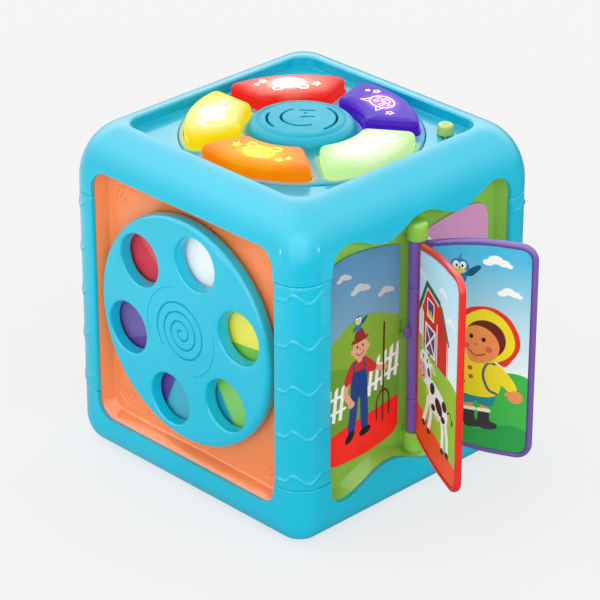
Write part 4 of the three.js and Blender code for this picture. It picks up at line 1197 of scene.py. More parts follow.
def child_picture():
    """Child in a yellow raincoat on a hill, with a bird and clouds."""
    picture = Picture(page_outline(PAGE_FRAME + GAP), fade(SKY_LOW, rgb(70, 184, 222), 92, 168))
    cloud(picture, 49.5, 163.5, 6.2)
    cloud(picture, 57.5, 144.5, 5.2)
    picture.add(rgb(66, 182, 78), ground((0, 74), (18, 76), (34, 82), (50, 91), (64, 93), (76, 89)))
    picture.add(rgb(44, 158, 74), ground((0, 52), (20, 56), (40, 52), (60, 58), (78, 52)))
    bird(picture, 26.5, 156.0, 6.2)
    picture.add(rgb(236, 150, 40), stroke([(24.5, 146.6), (23.6, 143)], 0.8),
                stroke([(28, 146.6), (28.6, 143)], 0.8))
    coat, skin, hair = rgb(244, 222, 40), rgb(240, 146, 84), rgb(112, 34, 32)
    boots, trousers = rgb(60, 54, 60), rgb(30, 140, 156)
    for x in (34.0, 43.0):
        picture.add(skin, stroke([(x, 74), (x + 1.0, 64)], 4.6))
        picture.add(boots, soft([(x - 2.4, 65), (x + 3.6, 65), (x + 4.6, 59), (x + 9.0, 57), (x + 7.4, 53.6),
                                 (x - 2.0, 53.8)]))
        picture.add(rgb(250, 244, 226), stroke([(x - 2.6, 65.5), (x + 3.8, 65.5)], 2.4))
    picture.add(trousers, soft([(28, 82), (49, 80), (48.5, 69), (40, 69.5), (38.5, 72), (37, 69.5),
                                (29, 70)]))
    picture.add(rgb(198, 206, 30), soft([(26.5, 96), (21.5, 88), (19, 78), (23.5, 76), (28.5, 84)]))
    picture.add(coat, soft([(28, 98), (40, 100), (52, 97), (54, 88), (51.5, 77), (40, 74), (28, 77),
                            (26.5, 88)]))
    picture.add(rgb(226, 60, 40), oval(34.6, 92.6, 1.5), oval(35.2, 86.8, 1.5), oval(30.4, 83.0, 1.5))
    handle = rgb(96, 100, 116)
    picture.add(handle, stroke(bent([(51.2, 77.5), (46.0, 80.0), (42.6, 89.0), (44.8, 96.5), (49.2, 97.4),
                                     (52.6, 92.5)]), 1.7))
    picture.add(coat, soft([(50, 97), (56, 94), (63.4, 84), (60.5, 79.5), (55.5, 83), (50.5, 87)]))
    picture.add(skin, oval(62.8, 77.4, 4.6, 4.2), oval(58.6, 78.8, 2.4, 1.8, 0.4), oval(20.6, 75.4, 3.0))
    picture.add(rgb(232, 52, 40), soft([(30, 127), (44, 134.6), (58, 128.5), (64.8, 114), (60.5, 102),
                                        (52, 98)]))
    picture.add(coat, soft([(27.4, 112), (30.5, 125.5), (43, 132.6), (55.5, 126.5), (61.5, 114), (58.5, 104),
                            (48, 98), (33, 98.5)]))
    picture.add(hair, oval(43.2, 112.8, 12.8, 12.6))
    picture.add(skin, soft([(30.4, 111), (31.8, 118.5), (38, 121.2), (45, 119.5), (50.5, 114), (52.2, 107),
                            (49, 100.2), (41, 96.6), (34, 98.4)]))
    picture.add(INK, oval(34.8, 113.8, 1.25, 1.5, 0, 14), oval(42.4, 112.4, 1.25, 1.5, 0, 14))
    picture.add(rgb(232, 90, 84), oval(32.0, 107.4, 1.9), oval(45.8, 106.2, 2.1))
    picture.add(rgb(170, 44, 36), stroke(bent([(33.6, 104.6), (37.6, 101.4), (43.6, 103.0)]), 0.8))
    picture.add(rgb(214, 110, 60), oval(37.6, 108.6, 1.2, 1.0))
    return picture


def barn_picture():
    """Red barn and a spotted cow on a hill."""
    picture = Picture(page_outline(PAGE_FRAME + GAP), fade(rgb(244, 252, 255), rgb(196, 234, 252), 108, 170))
    cloud(picture, 13.5, 154.0, 4.2)
    cloud(picture, 47.0, 157.5, 4.4)
    cloud(picture, 59.5, 144.0, 5.0)
    picture.add(rgb(160, 200, 62), ground((0, 113), (14, 115), (30, 112), (50, 108), (66, 106), (80, 100)))
    barn, green = rgb(240, 26, 26), rgb(18, 104, 72)
    picture.add(barn, [(16.5, 108), (56, 106), (56, 132), (46, 148), (24, 152.5), (12.4, 134), (16.5, 132)])
    picture.add(rgb(224, 20, 24), [(38.5, 107), (56, 106), (56, 132), (46, 148), (40, 140)])
    picture.add(WHITE, stroke([(16.6, 108), (16.6, 131)], 1.3), stroke([(38.4, 107), (38.4, 133)], 1.3),
                stroke([(54.6, 106), (54.6, 130)], 1.0))
    picture.add(green, stroke([(9.5, 130.5), (21.5, 152.0)], 3.2),
                stroke([(21.5, 152.5), (41.5, 149.0)], 3.2), stroke([(41.5, 149.0), (56.5, 129.0)], 2.6))
    picture.add(WHITE, stroke([(11.5, 129.3), (22.2, 149.2)], 0.9),
                stroke([(22.4, 149.6), (40.4, 146.4)], 0.9))
    picture.add(WHITE, rounded(22.2, 33.4, 131.6, 144.0, 0.8, 3))
    picture.add(rgb(104, 52, 128), rounded(23.4, 32.2, 132.8, 142.8, 0.5, 3))
    picture.add(rgb(246, 208, 60), soft([(23.6, 133), (25, 137), (27, 134.6), (28.6, 137.8), (30.2, 134.6),
                                         (32, 136.4), (32, 133)]))
    picture.add(WHITE, rounded(19.6, 36.4, 108.0, 127.0, 0.6, 3))
    picture.add(rgb(124, 40, 116), [(21.2, 109.6), (34.8, 109.6), (34.8, 125.4), (21.2, 125.4)])
    picture.add(WHITE, stroke([(21.2, 110), (34.8, 125)], 1.5), stroke([(21.2, 125), (34.8, 110)], 1.5))
    picture.add(rgb(255, 80, 26), ground((0, 70), (18, 66), (36, 60), (54, 58), (80, 58)))
    picture.add(rgb(160, 200, 62), soft([(50, 60), (60, 72), (80, 70), (80, 56), (62, 55)]))
    for x0, y0, x1, y1 in ((27, 82, 20, 61), (32, 80, 28, 59), (48, 78, 50, 57), (53.5, 78, 57.5, 58)):
        picture.add(WHITE, stroke(bent([(x0, y0), ((x0 + x1) / 2 + 1.2, (y0 + y1) / 2), (x1, y1)]), 4.2))
        picture.add(INK, oval(x1, y1 - 1.6, 2.7, 2.0))
    picture.add(WHITE, soft([(25, 92), (38, 93.5), (52, 89), (57.5, 82), (55, 75), (42, 73.5), (30, 75),
                             (24.5, 82)]))
    for x, y, rx, ry, tilt in ((33, 88.5, 4.4, 3.4, 0.9), (43.5, 81.5, 6.4, 4.4, -0.5),
                               (52, 86, 3.8, 3.4, 0.2), (35, 77, 3.6, 2.2, 0.3), (50.5, 76.5, 3.6, 2.2, 0.3)):
        picture.add(INK, oval(x, y, rx, ry, tilt, 18))
    picture.add(INK, stroke(bent([(56.5, 84), (61, 86.5), (64.0, 83.0)]), 0.9), oval(64.6, 81.6, 1.3, 1.9))
    picture.add(rgb(246, 196, 190), oval(41, 72.8, 3.6, 2.0))
    picture.add(rgb(240, 200, 60), oval(24.6, 82.6, 2.6, 2.8))
    picture.add(WHITE, soft([(13, 103), (19, 108), (26, 106), (30.5, 99), (29, 91), (23.5, 86.5),
                             (16.5, 87.5), (12.5, 93)]))
    picture.add(WHITE, oval(33.4, 101.4, 4.6, 1.9, -0.5))
    picture.add(rgb(246, 170, 176), oval(33.4, 101.2, 3.2, 1.1, -0.5),
                soft([(10.6, 94), (14, 99), (20, 98), (22.2, 91.6), (18, 86.4), (12.6, 87.6)]))
    picture.add(INK, oval(18.0, 103.0, 1.0, 1.6, 0, 14), oval(24.4, 102.6, 1.0, 1.6, 0, 14),
                oval(26.8, 96, 2.0, 3.0, 0.4))
    picture.add(rgb(180, 60, 80), stroke(bent([(12.6, 91.4), (15.6, 88.6), (19.8, 90.8)]), 0.8),
                oval(13.4, 95, 0.6, 0.9), oval(18.2, 94.8, 0.6, 0.9))
    picture.add(rgb(120, 96, 60), stroke(bent([(19.5, 107.5), (17.6, 111.4), (19.4, 114)]), 1.3),
                stroke(bent([(25.5, 106.5), (28.2, 109.5), (27.0, 112.5)]), 1.3))
    return picture


def pond_picture():
    """Back of the purple page: a duck on a pond."""
    picture = Picture(page_outline(PAGE_FRAME + GAP, True), fade(SKY_LOW, SKY_HIGH, 100, 170))
    cloud(picture, -50, 158, 6)
    cloud(picture, -24, 148, 5)
    picture.add(rgb(120, 190, 70), ground((-80, 112), (-50, 120), (-25, 112), (0, 118)))
    water = [(-68, 84), (-40, 98), (-14, 86), (-12, 60), (-40, 48), (-66, 58)]
    picture.add(rgb(58, 150, 204), soft(water, 10))
    picture.add(rgb(250, 214, 60), soft([(-58, 78), (-50, 82), (-40, 76), (-26, 84), (-27, 70), (-40, 64),
                                         (-54, 68)]), oval(-52, 88, 8))
    picture.add(rgb(240, 120, 40), soft([(-60, 89), (-66, 86), (-60, 84)]))
    picture.add(INK, oval(-54, 90, 1.2, 1.5))
    picture.add(rgb(230, 176, 40), stroke(bent([(-44, 76), (-36, 71), (-29, 77)]), 1.2))
    return picture


def garden_picture():
    """Back of the red page: sun over flowers."""
    picture = Picture(page_outline(PAGE_FRAME + GAP, True),
                      fade(rgb(252, 236, 170), rgb(120, 200, 230), 90, 170))
    picture.add(rgb(250, 206, 50), oval(-48, 148, 11))
    for i in range(10):
        a = TAU * i / 10
        picture.add(rgb(250, 206, 50), stroke([(-48 + 13.5 * math.cos(a), 148 + 13.5 * math.sin(a)),
                                               (-48 + 17 * math.cos(a), 148 + 17 * math.sin(a))], 1.8))
    picture.add(rgb(100, 180, 70), ground((-80, 84), (-50, 94), (-25, 86), (0, 92)))
    for x, y, paint in ((-56, 96, RED), (-38, 108, rgb(150, 90, 190)), (-20, 94, rgb(246, 130, 60))):
        picture.add(rgb(40, 130, 60), stroke([(x, 50), (x, y)], 1.8), oval(x + 5, 66, 5.4, 2.2, 0.6),
                    oval(x - 5, 58, 5.4, 2.2, 2.5))
        for i in range(6):
            picture.add(paint, oval(x + 6 * math.cos(TAU * i / 6), y + 6 * math.sin(TAU * i / 6), 4.2))
        picture.add(rgb(250, 220, 80), oval(x, y, 3.6))
    return picture


# ---------------------------------------------------------------- book side
BARREL = 5.0
CAP = 6.4  # green bosses at both ends of the spine
PAGE_ANGLE = {"purple_page": math.radians(26.0), "red_page": math.radians(-25.5)}
SLEEVE_LOW, SLEEVE_HIGH = span("red_page_sleeve", 2)
CORE = 0.8  # half the thickness of a page inside its bead
PAGE_BEAD = [(CORE, 3.4), (CORE + 0.1, 3.2), (1.5, 3.0), (2.0, 2.5), (2.2, 1.9), (2.2, 1.4), (2.0, 0.8),
             (1.6, 0.4), (1.0, 0.1)]  # half of the bead: distance from the middle plane, inset from the edge
POCKET_ACROSS = (-7.2, -1.5)  # the tab of the spine swings through a pocket in the floor of the tray
POCKET_HALF = 4.3
POCKET_FLOOR = -13.4
TAB_MIDDLE = (PAGE_LOW + PAGE_HIGH) / 2 + 4.5


def standing(shape, depth=0.0):
    """Turns a Moulding built upwards so that it stands along the up direction of a side."""
    turn = Matrix(((1, 0, 0, 0), (0, 0, 1, 0), (0, -1, 0, depth), (0, 0, 0, 1)))
    shape.bm.transform(turn)
    return shape


def bar(x0, x1, y0, y1, low, high, radius=0.5):
    """Block with rounded upright edges."""
    section = rounded(x0, x1, y0, y1, radius, 3)
    return Moulding().solid([(low, section), (high, section)])


def union(first, *others):
    for other in others:
        first = boolean(first, other, "UNION")
    return first


def barrel(low, high, radius, foot=0.4, crown=0.4):
    """Upright barrel whose edge is rounded by foot below and by crown above."""
    rings = []
    for end, reach, sense in ((low, foot, 1), (high, crown, -1)):
        curve = []
        for angle in quarter(6):
            inset = reach * (1 - math.cos(angle))
            curve.append((end + sense * reach * (1 - math.sin(angle)), circle(0, 0, radius - inset, 40)))
        rings += curve[::-1] if sense > 0 else curve
    return Moulding().solid(rings)


def page_frame(name):
    """Frame of an open page: x away from the hinge, y up, z out of its front."""
    place = upright(PAGE_ANGLE[name], 0.0)
    place[0][3] = SPINE_X * MM
    return place


def page_blank():
    """Flat core inside a rounded bead."""
    rings = PAGE_BEAD + [(0.0, 0.0)] + [(-z, inset) for z, inset in PAGE_BEAD[::-1]]
    shape = Moulding().solid([(z, page_outline(inset)) for z, inset in rings])

    def root(p):
        share = min(1.0, max(0.0, (p.x - PAGE_ROOT) / 5.5))
        return Vector((p.x, p.y, p.z * (0.64 + 0.36 * share) if abs(p.z) > CORE + 0.05 else p.z))
    shape.reshape(root)
    return shape


def purple_page(material):
    shape = page_blank()
    for low, high in ((PAGE_LOW, SLEEVE_LOW - GAP), (SLEEVE_HIGH + GAP, PAGE_HIGH)):
        shape = union(shape, standing(barrel(low, high, BARREL)),
                      standing(bar(1.0, PAGE_ROOT + 2, -1.4, 1.4, low + 0.6, high - 0.6)))
    return piece("purple_page_fine", shape, page_frame("purple_page"), material, body="purple_page",
                 nodes=["purple_page"], sharp=42)


def red_page(material):
    shape = union(page_blank(), standing(bar(3.0, PAGE_ROOT + 2, -1.2, 1.2, SLEEVE_LOW + 4, SLEEVE_HIGH - 4)))
    return piece("red_page_fine", shape, page_frame("red_page"), material, body="red_page",
                 nodes=["red_page"], sharp=42)


def page_sleeve(material):
    """Barrel of the red page, with a thumb tab towards the front of the cube."""
    shape = barrel(SLEEVE_LOW, SLEEVE_HIGH, BARREL)
    rings = rounding(lambda inset: rounded(-9.2 + inset, -3.0, -1.5 + inset, 1.5 - inset, 0.9 - inset, 4),
                     TAB_MIDDLE + 3.4, 0.5, 4)[:-1]
    tab = Moulding().solid([(2 * TAB_MIDDLE - z, points) for z, points in rings[::-1]] + rings)
    tab.bm.transform(Matrix.Rotation(QUARTER, 4, "Z"))
    shape = union(shape, tab)
    place = Matrix.Translation((SPINE_X * MM, 0, 0)) @ Matrix.Scale(MM, 4)
    return piece("red_page_sleeve_fine", shape, place, material, body="red_page", nodes=["red_page_sleeve"])


def book_panel(material):
    """Green tray with the two hinge bosses of the spine and the pocket for its tab."""
    shape = Moulding()
    behind, floor = shape.skin(tray_rings(wavy_window))
    pocket = rounded(*POCKET_ACROSS, TAB_MIDDLE - POCKET_HALF, TAB_MIDDLE + POCKET_HALF, 1.0, 4)
    mouth, bottom = shape.skin([(TRAY_FLOOR, pocket), (POCKET_FLOOR, pocket)])
    shape.cap(bottom)
    shape.cap(floor, mouth, pitch=12.0)
    shape.cap(behind)
    depth = SPINE_X - HALF
    for low, high, foot, crown in ((29.0, PAGE_LOW - GAP, 3.0, 0.4), (PAGE_HIGH + GAP, 183.0, 0.4, 3.0)):
        post = standing(barrel(low, high, CAP, foot, crown), depth)
        rib = standing(bar(-3.6, 3.6, -depth - 0.5, -TRAY_FLOOR + 0.6, low + 2.5, high - 2.5), 0.0)
        shape = union(shape, post, rib)
    return piece("book_panel_fine", shape, RIGHT, material, nodes=["book_panel"], sharp=42)


def book_pictures(material):
    height = TRAY_FLOOR + 0.9
    sheet("farm_print", farm_picture(), height, RIGHT, material, nodes=["farm_label"])
    sheet("path_print", path_picture(), height, RIGHT, material, nodes=["path_label"])
    height = CORE + 0.8
    for name, front, back in (("purple_page", child_picture, pond_picture),
                              ("red_page", barn_picture, garden_picture)):
        place = page_frame(name)
        sheet(f"{name}_front_print", front(), height, place, material, name, [f"{name}_front_label"])
        turned = place @ Matrix.Rotation(math.pi, 4, "Y")
        sheet(f"{name}_back_print", back(), height, turned, material, name, [f"{name}_back_label"])


# ---------------------------------------------------------------- sorting side
SORT_FLOOR = span("block_round", 2)[0]
BLOCK_FRONT = HALF - span("block_round", 1)[1]
BLOCK_BACK = HALF - span("block_round", 1)[0]
BLOCK_SPACING = 48.0


def round_block(grow):
    return circle(-BLOCK_SPACING, SORT_FLOOR + 18, 18 + grow, 72)


def square_block(grow):
    return rounded(-17 - grow, 17 + grow, SORT_FLOOR - grow, SORT_FLOOR + 34 + grow, 3 + grow, 6)


def triangle_block(grow):
    half = 21.0
    radius = max(0.6, 3.0 + grow)
    inward = radius - grow
    shift = inward * math.sqrt(3)
    centres = ((-half + shift, inward), (half - shift, inward), (0.0, half * math.sqrt(3) - 2 * inward))
    points = []
    for i, (cx, cy) in enumerate(centres):
        start = 5 * math.pi / 6 + i * TAU / 3
        points += arc(BLOCK_SPACING + cx, SORT_FLOOR + cy, radius, start, start + TAU / 3, 8)
    return points


BLOCKS = {"block_round": round_block, "block_square": square_block, "block_triangle": triangle_block}


def sorting_panel(material):
    holes = [lambda inset, outline=outline: outline(1.0 - inset) for outline in BLOCKS.values()]
    return tray(plain_window, "sorting_panel_fine", (BACK, material, "housing"), "sorting_panel",
                floor_holes=holes)


def block(name, material):
    """Solid block with a raised rim around both ends."""
    outline = BLOCKS[name]
    front, back = -BLOCK_FRONT, -BLOCK_BACK
    half = rounding(lambda inset: outline(-inset), front, 1.6, 5)
    half += [(front, outline(-4.0)), (front - 0.3, outline(-4.4)), (front - 1.0, outline(-4.9)),
             (front - 1.2, outline(-5.6))]
    mirrored = [(back + front - z, points) for z, points in half[::-1]]
    shape = Moulding().solid(mirrored + half, pitch=6.0)
    return piece(f"{name}_fine", shape, BACK, material, body=name, nodes=[name], sharp=50)


# ---------------------------------------------------------------- door side
DOOR_HINGE = -centre_of("door_pin", 1)
DOOR_DEPTH = -HALF - centre_of("door_pin", 0)
LEAF_LOW, LEAF_HIGH = span("block_door", 2)
DOORWAY_HALF = 42.0
DOORWAY_TOP = 146.0
DOORWAY_CORNER = 8.0
LEAF_EDGE = -49.0  # free edge of the door
LEAF_BACK, LEAF_FACE, LEAF_PANEL = -11.0, -7.2, -7.9  # depths of the leaf and of the panel sunk into it


def door_panel(material):
    shape = Moulding()
    behind, floor = shape.skin(tray_rings(plain_window))

    def doorway(inset):
        return rounded(-DOORWAY_HALF + inset, DOORWAY_HALF - inset,
                       SORT_FLOOR + 0.2 + inset, DOORWAY_TOP - inset, DOORWAY_CORNER - inset, 8)
    mouth, end = shape.skin([(TRAY_FLOOR, doorway(-0.8)), (TRAY_FLOOR - 0.3, doorway(-0.2)),
                             (TRAY_FLOOR - 0.8, doorway(0)),
                             (TRAY_BACK, doorway(0))])
    shape.cap(floor, mouth, pitch=12.0)
    shape.cap(behind, end)
    for low, high in ((LEAF_LOW - 6.4, LEAF_LOW - 0.4), (LEAF_HIGH + 0.4, LEAF_HIGH + 6.4)):
        lug = standing(barrel(low, high, 3.0, 0.6, 0.6), DOOR_DEPTH)
        lug.bm.transform(Matrix.Translation((DOOR_HINGE, 0, 0)))
        foot = standing(bar(DOOR_HINGE - 2.6, DOOR_HINGE + 2.6, -DOOR_DEPTH - 0.3, -TRAY_FLOOR + 0.6,
                            low + 0.6, high - 0.6))
        shape = union(shape, lug, foot)
    return piece("door_panel_fine", shape, LEFT, material, nodes=["door_panel"], sharp=42)


def block_door(material):
    def leaf(inset):
        return rounded(LEAF_EDGE + inset, DOOR_HINGE - 1 - inset, LEAF_LOW + inset, LEAF_HIGH - inset,
                       max(10 - inset, 1), 10)
    shape = Moulding()
    rings = [(LEAF_BACK, leaf(0.5)), (LEAF_BACK + 0.3, leaf(0.1)), (LEAF_BACK + 0.6, leaf(0))]
    rings += rounding(leaf, LEAF_FACE, 2.0, 6)
    rings += [(LEAF_FACE, leaf(5.0)), (LEAF_FACE - 0.3, leaf(5.5)), (LEAF_PANEL, leaf(6.4)),
              (LEAF_PANEL, leaf(7.0))]
    first, last = shape.skin(rings)
    marks = []
    for radius in (7.0, 13.0, 19.0):
        marks.append(shape.groove(arc(4, 108, radius, 0.5, TAU - 0.6, 40), 1.6, 0.5, LEAF_PANEL))
    shape.cap(last, *marks, pitch=8.0)
    shape.cap(first)
    def grip(inset):
        return rounded(-41 + inset, -33 - inset, 96 + inset, 120 - inset, 3.9 - inset, 8)
    knob = Moulding().solid([(-9.0, grip(0))] + rounding(grip, -1.6, 1.8, 6))
    roll = standing(barrel(LEAF_LOW, LEAF_HIGH, 3.0), DOOR_DEPTH)
    roll.bm.transform(Matrix.Translation((DOOR_HINGE, 0, 0)))
    shape = union(shape, roll, knob)
    return piece("block_door_fine", shape, LEFT, material, body="block_door", nodes=["block_door"], sharp=45)


# ---------------------------------------------------------------- lit keys
KEY_LIGHT = {  # over the lamp, around it, at the rim, thrown on the deck
    "green": (rgb(255, 255, 250), rgb(240, 255, 220), rgb(206, 250, 164), rgb(214, 236, 130)),
    "purple": (rgb(200, 130, 244), rgb(84, 34, 206), rgb(70, 26, 188), rgb(170, 120, 196)),
    "red": (rgb(255, 255, 250), rgb(248, 124, 106), rgb(244, 38, 28), rgb(240, 104, 96)),
    "yellow": (rgb(255, 255, 250), rgb(255, 250, 140), rgb(255, 226, 20), rgb(255, 242, 60)),
    "orange": (rgb(255, 246, 10), rgb(255, 172, 0), rgb(252, 134, 0), rgb(255, 180, 40)),
}


GLOW_SQUEEZE = (1.55, 1.0, 2.2)  # the glow is narrower along the key than across it, and flatter still
GLOW_REACH = 0.034  # in metres, from the lamp to the rim colour
UNSEEN_GLOW = 0.6  # share of the glow that reaches other surfaces
KEY_STRENGTH = 0.72


def lit_plastic(name, turn, colours, strength):
    """Clear tinted plastic lit from below: hottest over its lamp, deeper in colour towards the edge."""
    nodes = Nodes(name)
    place = nodes.add("ShaderNodeTexCoord")
    away = nodes.add("ShaderNodeVectorMath", operation="SUBTRACT")
    away.inputs[1].default_value = (KEY_CENTRE * MM * math.cos(turn), KEY_CENTRE * MM * math.sin(turn),
                                    KEY_TOP * MM)
    nodes.link(place.outputs["Object"], away.inputs[0])
    turned = nodes.add("ShaderNodeVectorRotate", rotation_type="Z_AXIS")
    turned.inputs["Angle"].default_value = -turn
    nodes.link(away.outputs["Vector"], turned.inputs["Vector"])
    squeeze = nodes.add("ShaderNodeVectorMath", operation="MULTIPLY")
    squeeze.inputs[1].default_value = GLOW_SQUEEZE
    nodes.link(turned.outputs["Vector"], squeeze.inputs[0])
    length = nodes.add("ShaderNodeVectorMath", operation="LENGTH")
    nodes.link(squeeze.outputs["Vector"], length.inputs[0])
    ramp = nodes.add("ShaderNodeValToRGB")
    ramp.color_ramp.interpolation = "EASE"
    hot, middle, edge = colours[:3]
    stops = ramp.color_ramp.elements
    stops[0].position, stops[0].color = 0.10, hot
    stops[1].position, stops[1].color = 0.95, edge
    between = stops.new(0.55)
    between.color = middle
    share = nodes.remap(length.outputs["Value"], 0.0, GLOW_REACH, 0.0, 1.0)
    ripple = nodes.add("ShaderNodeMath", operation="ADD")
    nodes.link(share, ripple.inputs[0])
    nodes.link(nodes.uneven(130.0, 0.3, 0.7, -0.05, 0.05), ripple.inputs[1])
    nodes.link(ripple.outputs["Value"], ramp.inputs["Fac"])
    nodes.put("Emission Color", ramp.outputs["Color"])
    nodes.put("Base Color", nodes.mix(0.75, ramp.outputs["Color"], grey(0.0)))
    rays = nodes.add("ShaderNodeLightPath")
    seen = nodes.remap(rays.outputs["Is Camera Ray"], 0.0, 1.0, UNSEEN_GLOW * strength, strength)
    nodes.put("Emission Strength", seen)
    nodes.put("Roughness", nodes.uneven(60.0, 0.35, 0.7, 0.08, 0.18, detail=4.0))
    nodes.bump(nodes.noise(700.0, 2.0), 0.03)
    nodes.put("Specular IOR Level", 0.06)
    return nodes.material


def shining_ink(name, colour, strength):
    """Pale print on a lit key, a little uneven."""
    nodes = Nodes(name)
    uneven = nodes.uneven(200.0, 0.3, 0.7, 0.0, 0.25)
    dimmer = scaled(colour, 0.8)
    paint = nodes.mix(uneven, colour, dimmer)
    nodes.put("Base Color", paint)
    nodes.put("Emission Color", paint)
    nodes.put("Emission Strength", strength)
    nodes.put("Roughness", nodes.uneven(90.0, 0.3, 0.7, 0.2, 0.35))
    nodes.bump(nodes.noise(900.0), 0.05)
    return nodes.material


def key_icon(name, turn, lines, material):
    """Raised line drawing on top of a key, drawn around its centre with x across and y towards the rim."""
    low, high = KEY_TOP - 0.5, KEY_TOP + 0.1
    shape = Moulding()
    for line, width in lines:
        outline = banks(line, width / 2)
        points = [(-y, x) for x, y in outline]
        for loop in shape.skin([(low, points), (high, points)]):
            shape.lid(loop, len(line))
    place = WHOLE @ Matrix.Rotation(turn, 4, "Z") @ Matrix.Translation((KEY_CENTRE, 0, 0))
    return piece(f"key_{name}_icon", shape, place, material, body=f"key_{name}")


def ring_line(cx, cy, rx, ry, start=0.0, end=TAU - 0.12, steps=22):
    return [(cx + rx * math.cos(start + (end - start) * i / steps),
             cy + ry * math.sin(start + (end - start) * i / steps))
            for i in range(steps + 1)]


def animal_face(ears):
    """Head outline, muzzle, nose, eyes, ears and whiskers of a simple animal."""
    lines = [(ring_line(0, 0, 9.4, 6.8), 0.9), (ring_line(0, -2.6, 3.6, 2.2), 0.7),
             (ring_line(0, -1.6, 1.1, 0.6), 0.6)]
    for hand in (-1, 1):
        lines.append((ring_line(hand * 3.4, 2.2, 1.3, 1.5), 0.6))
        lines.append(([(hand * x * 1.45, y * 1.35) for x, y in ears], 0.9))
        lines += [([(hand * 5.2, y), (hand * 8.0, y * 1.5 + 0.6)], 0.5) for y in (-0.6, -2.0)]
    return lines


def sparkle(cx, cy, size):
    outline = star(cx, cy, size)
    return outline + outline[:1]


POINTED_EARS = [(5.6, 3.0), (6.8, 7.0), (3.0, 4.9)]
ROUND_EARS = [(5.2, 3.4), (7.4, 4.6), (7.0, 7.0), (4.6, 7.2), (2.8, 5.0)]
FLOPPY_EARS = [(6.2, 2.4), (9.4, 1.0), (9.2, -2.8), (7.2, -3.2)]


def key_icons():
    white = shining_ink("pale_print", rgb(255, 255, 235), 1.6)
    warm = shining_ink("warm_print", rgb(255, 252, 60), 1.5)
    lilac = shining_ink("lilac_print", rgb(240, 190, 255), 1.3)
    drawings = {
        "green": (animal_face(FLOPPY_EARS), white), "purple": (animal_face(POINTED_EARS), lilac),
        "red": (animal_face(ROUND_EARS), white), "yellow": (animal_face(POINTED_EARS), white),
        "orange": (animal_face(ROUND_EARS), warm),
    }
    for i, name in enumerate(KEY_NAMES):
        lines, material = drawings[name]
        lines = lines + [(sparkle(-16.5, 3.5, 2.6), 0.7), (sparkle(15.5, -4.5, 2.4), 0.7),
                         (sparkle(19.5, -0.5, 1.6), 0.6)]
        key_icon(name, TAU * i / len(KEY_NAMES), lines, material)


# ---------------------------------------------------------------- looks of the pieces kept from the CAD
def metal(name, colour, roughness=0.28):
    """Plated metal with a fine grain and faint tarnish."""
    nodes = Nodes(name)
    dull = scaled(colour, 0.62)
    nodes.put("Base Color", nodes.mix(nodes.uneven(140.0, 0.35, 0.7, 0.0, 0.7, detail=5.0), colour, dull))
    nodes.put("Metallic", 1.0)
    nodes.put("Roughness", nodes.uneven(400.0, 0.3, 0.7, roughness - 0.08, roughness + 0.16, detail=4.0))
    nodes.bump(nodes.noise(3000.0, 2.0), 0.12)
    return nodes.material


def circuit_board(name):
    """Green board with copper tracks under the lacquer."""
    nodes = Nodes(name)
    place = nodes.add("ShaderNodeTexCoord")
    tracks = nodes.add("ShaderNodeTexBrick")
    tracks.inputs["Scale"].default_value = 240.0
    tracks.inputs["Mortar Size"].default_value = 0.03
    tracks.inputs["Color1"].default_value = rgb(26, 110, 66)
    tracks.inputs["Color2"].default_value = rgb(20, 92, 54)
    tracks.inputs["Mortar"].default_value = rgb(70, 150, 84)
    nodes.link(place.outputs["Object"], tracks.inputs["Vector"])
    nodes.put("Base Color", nodes.mix(nodes.uneven(60.0, 0.35, 0.65, 0.0, 0.4), tracks.outputs["Color"],
                                      rgb(14, 70, 44)))
    nodes.put("Roughness", nodes.uneven(200.0, 0.3, 0.7, 0.2, 0.4))
    nodes.bump(tracks.outputs["Fac"], 0.2)
    return nodes.material


def battery_wrap(name):
    """Dark sleeve with a gold band at the positive end."""
    nodes = Nodes(name)
    place = nodes.add("ShaderNodeTexCoord")
    split = nodes.add("ShaderNodeSeparateXYZ")
    nodes.link(place.outputs["Object"], split.inputs["Vector"])
    sleeve = nodes.mix(nodes.uneven(90.0, 0.3, 0.7, 0.0, 1.0), rgb(38, 38, 44), rgb(54, 54, 62))
    band = nodes.remap(split.outputs["Y"], 0.0075, 0.0085, 0.0, 1.0)
    nodes.put("Base Color", nodes.mix(band, sleeve, rgb(206, 160, 70)))
    nodes.put("Roughness", nodes.uneven(120.0, 0.3, 0.7, 0.22, 0.4))
    nodes.put("Metallic", 0.45)
    nodes.bump(nodes.noise(1200.0), 0.06)
    return nodes.material


def dress(material, *names):
    """Gives CAD nodes that stay visible their finish."""
    for name in names:
        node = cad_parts[name]
        node.data.materials.clear()
        node.data.materials.append(material)


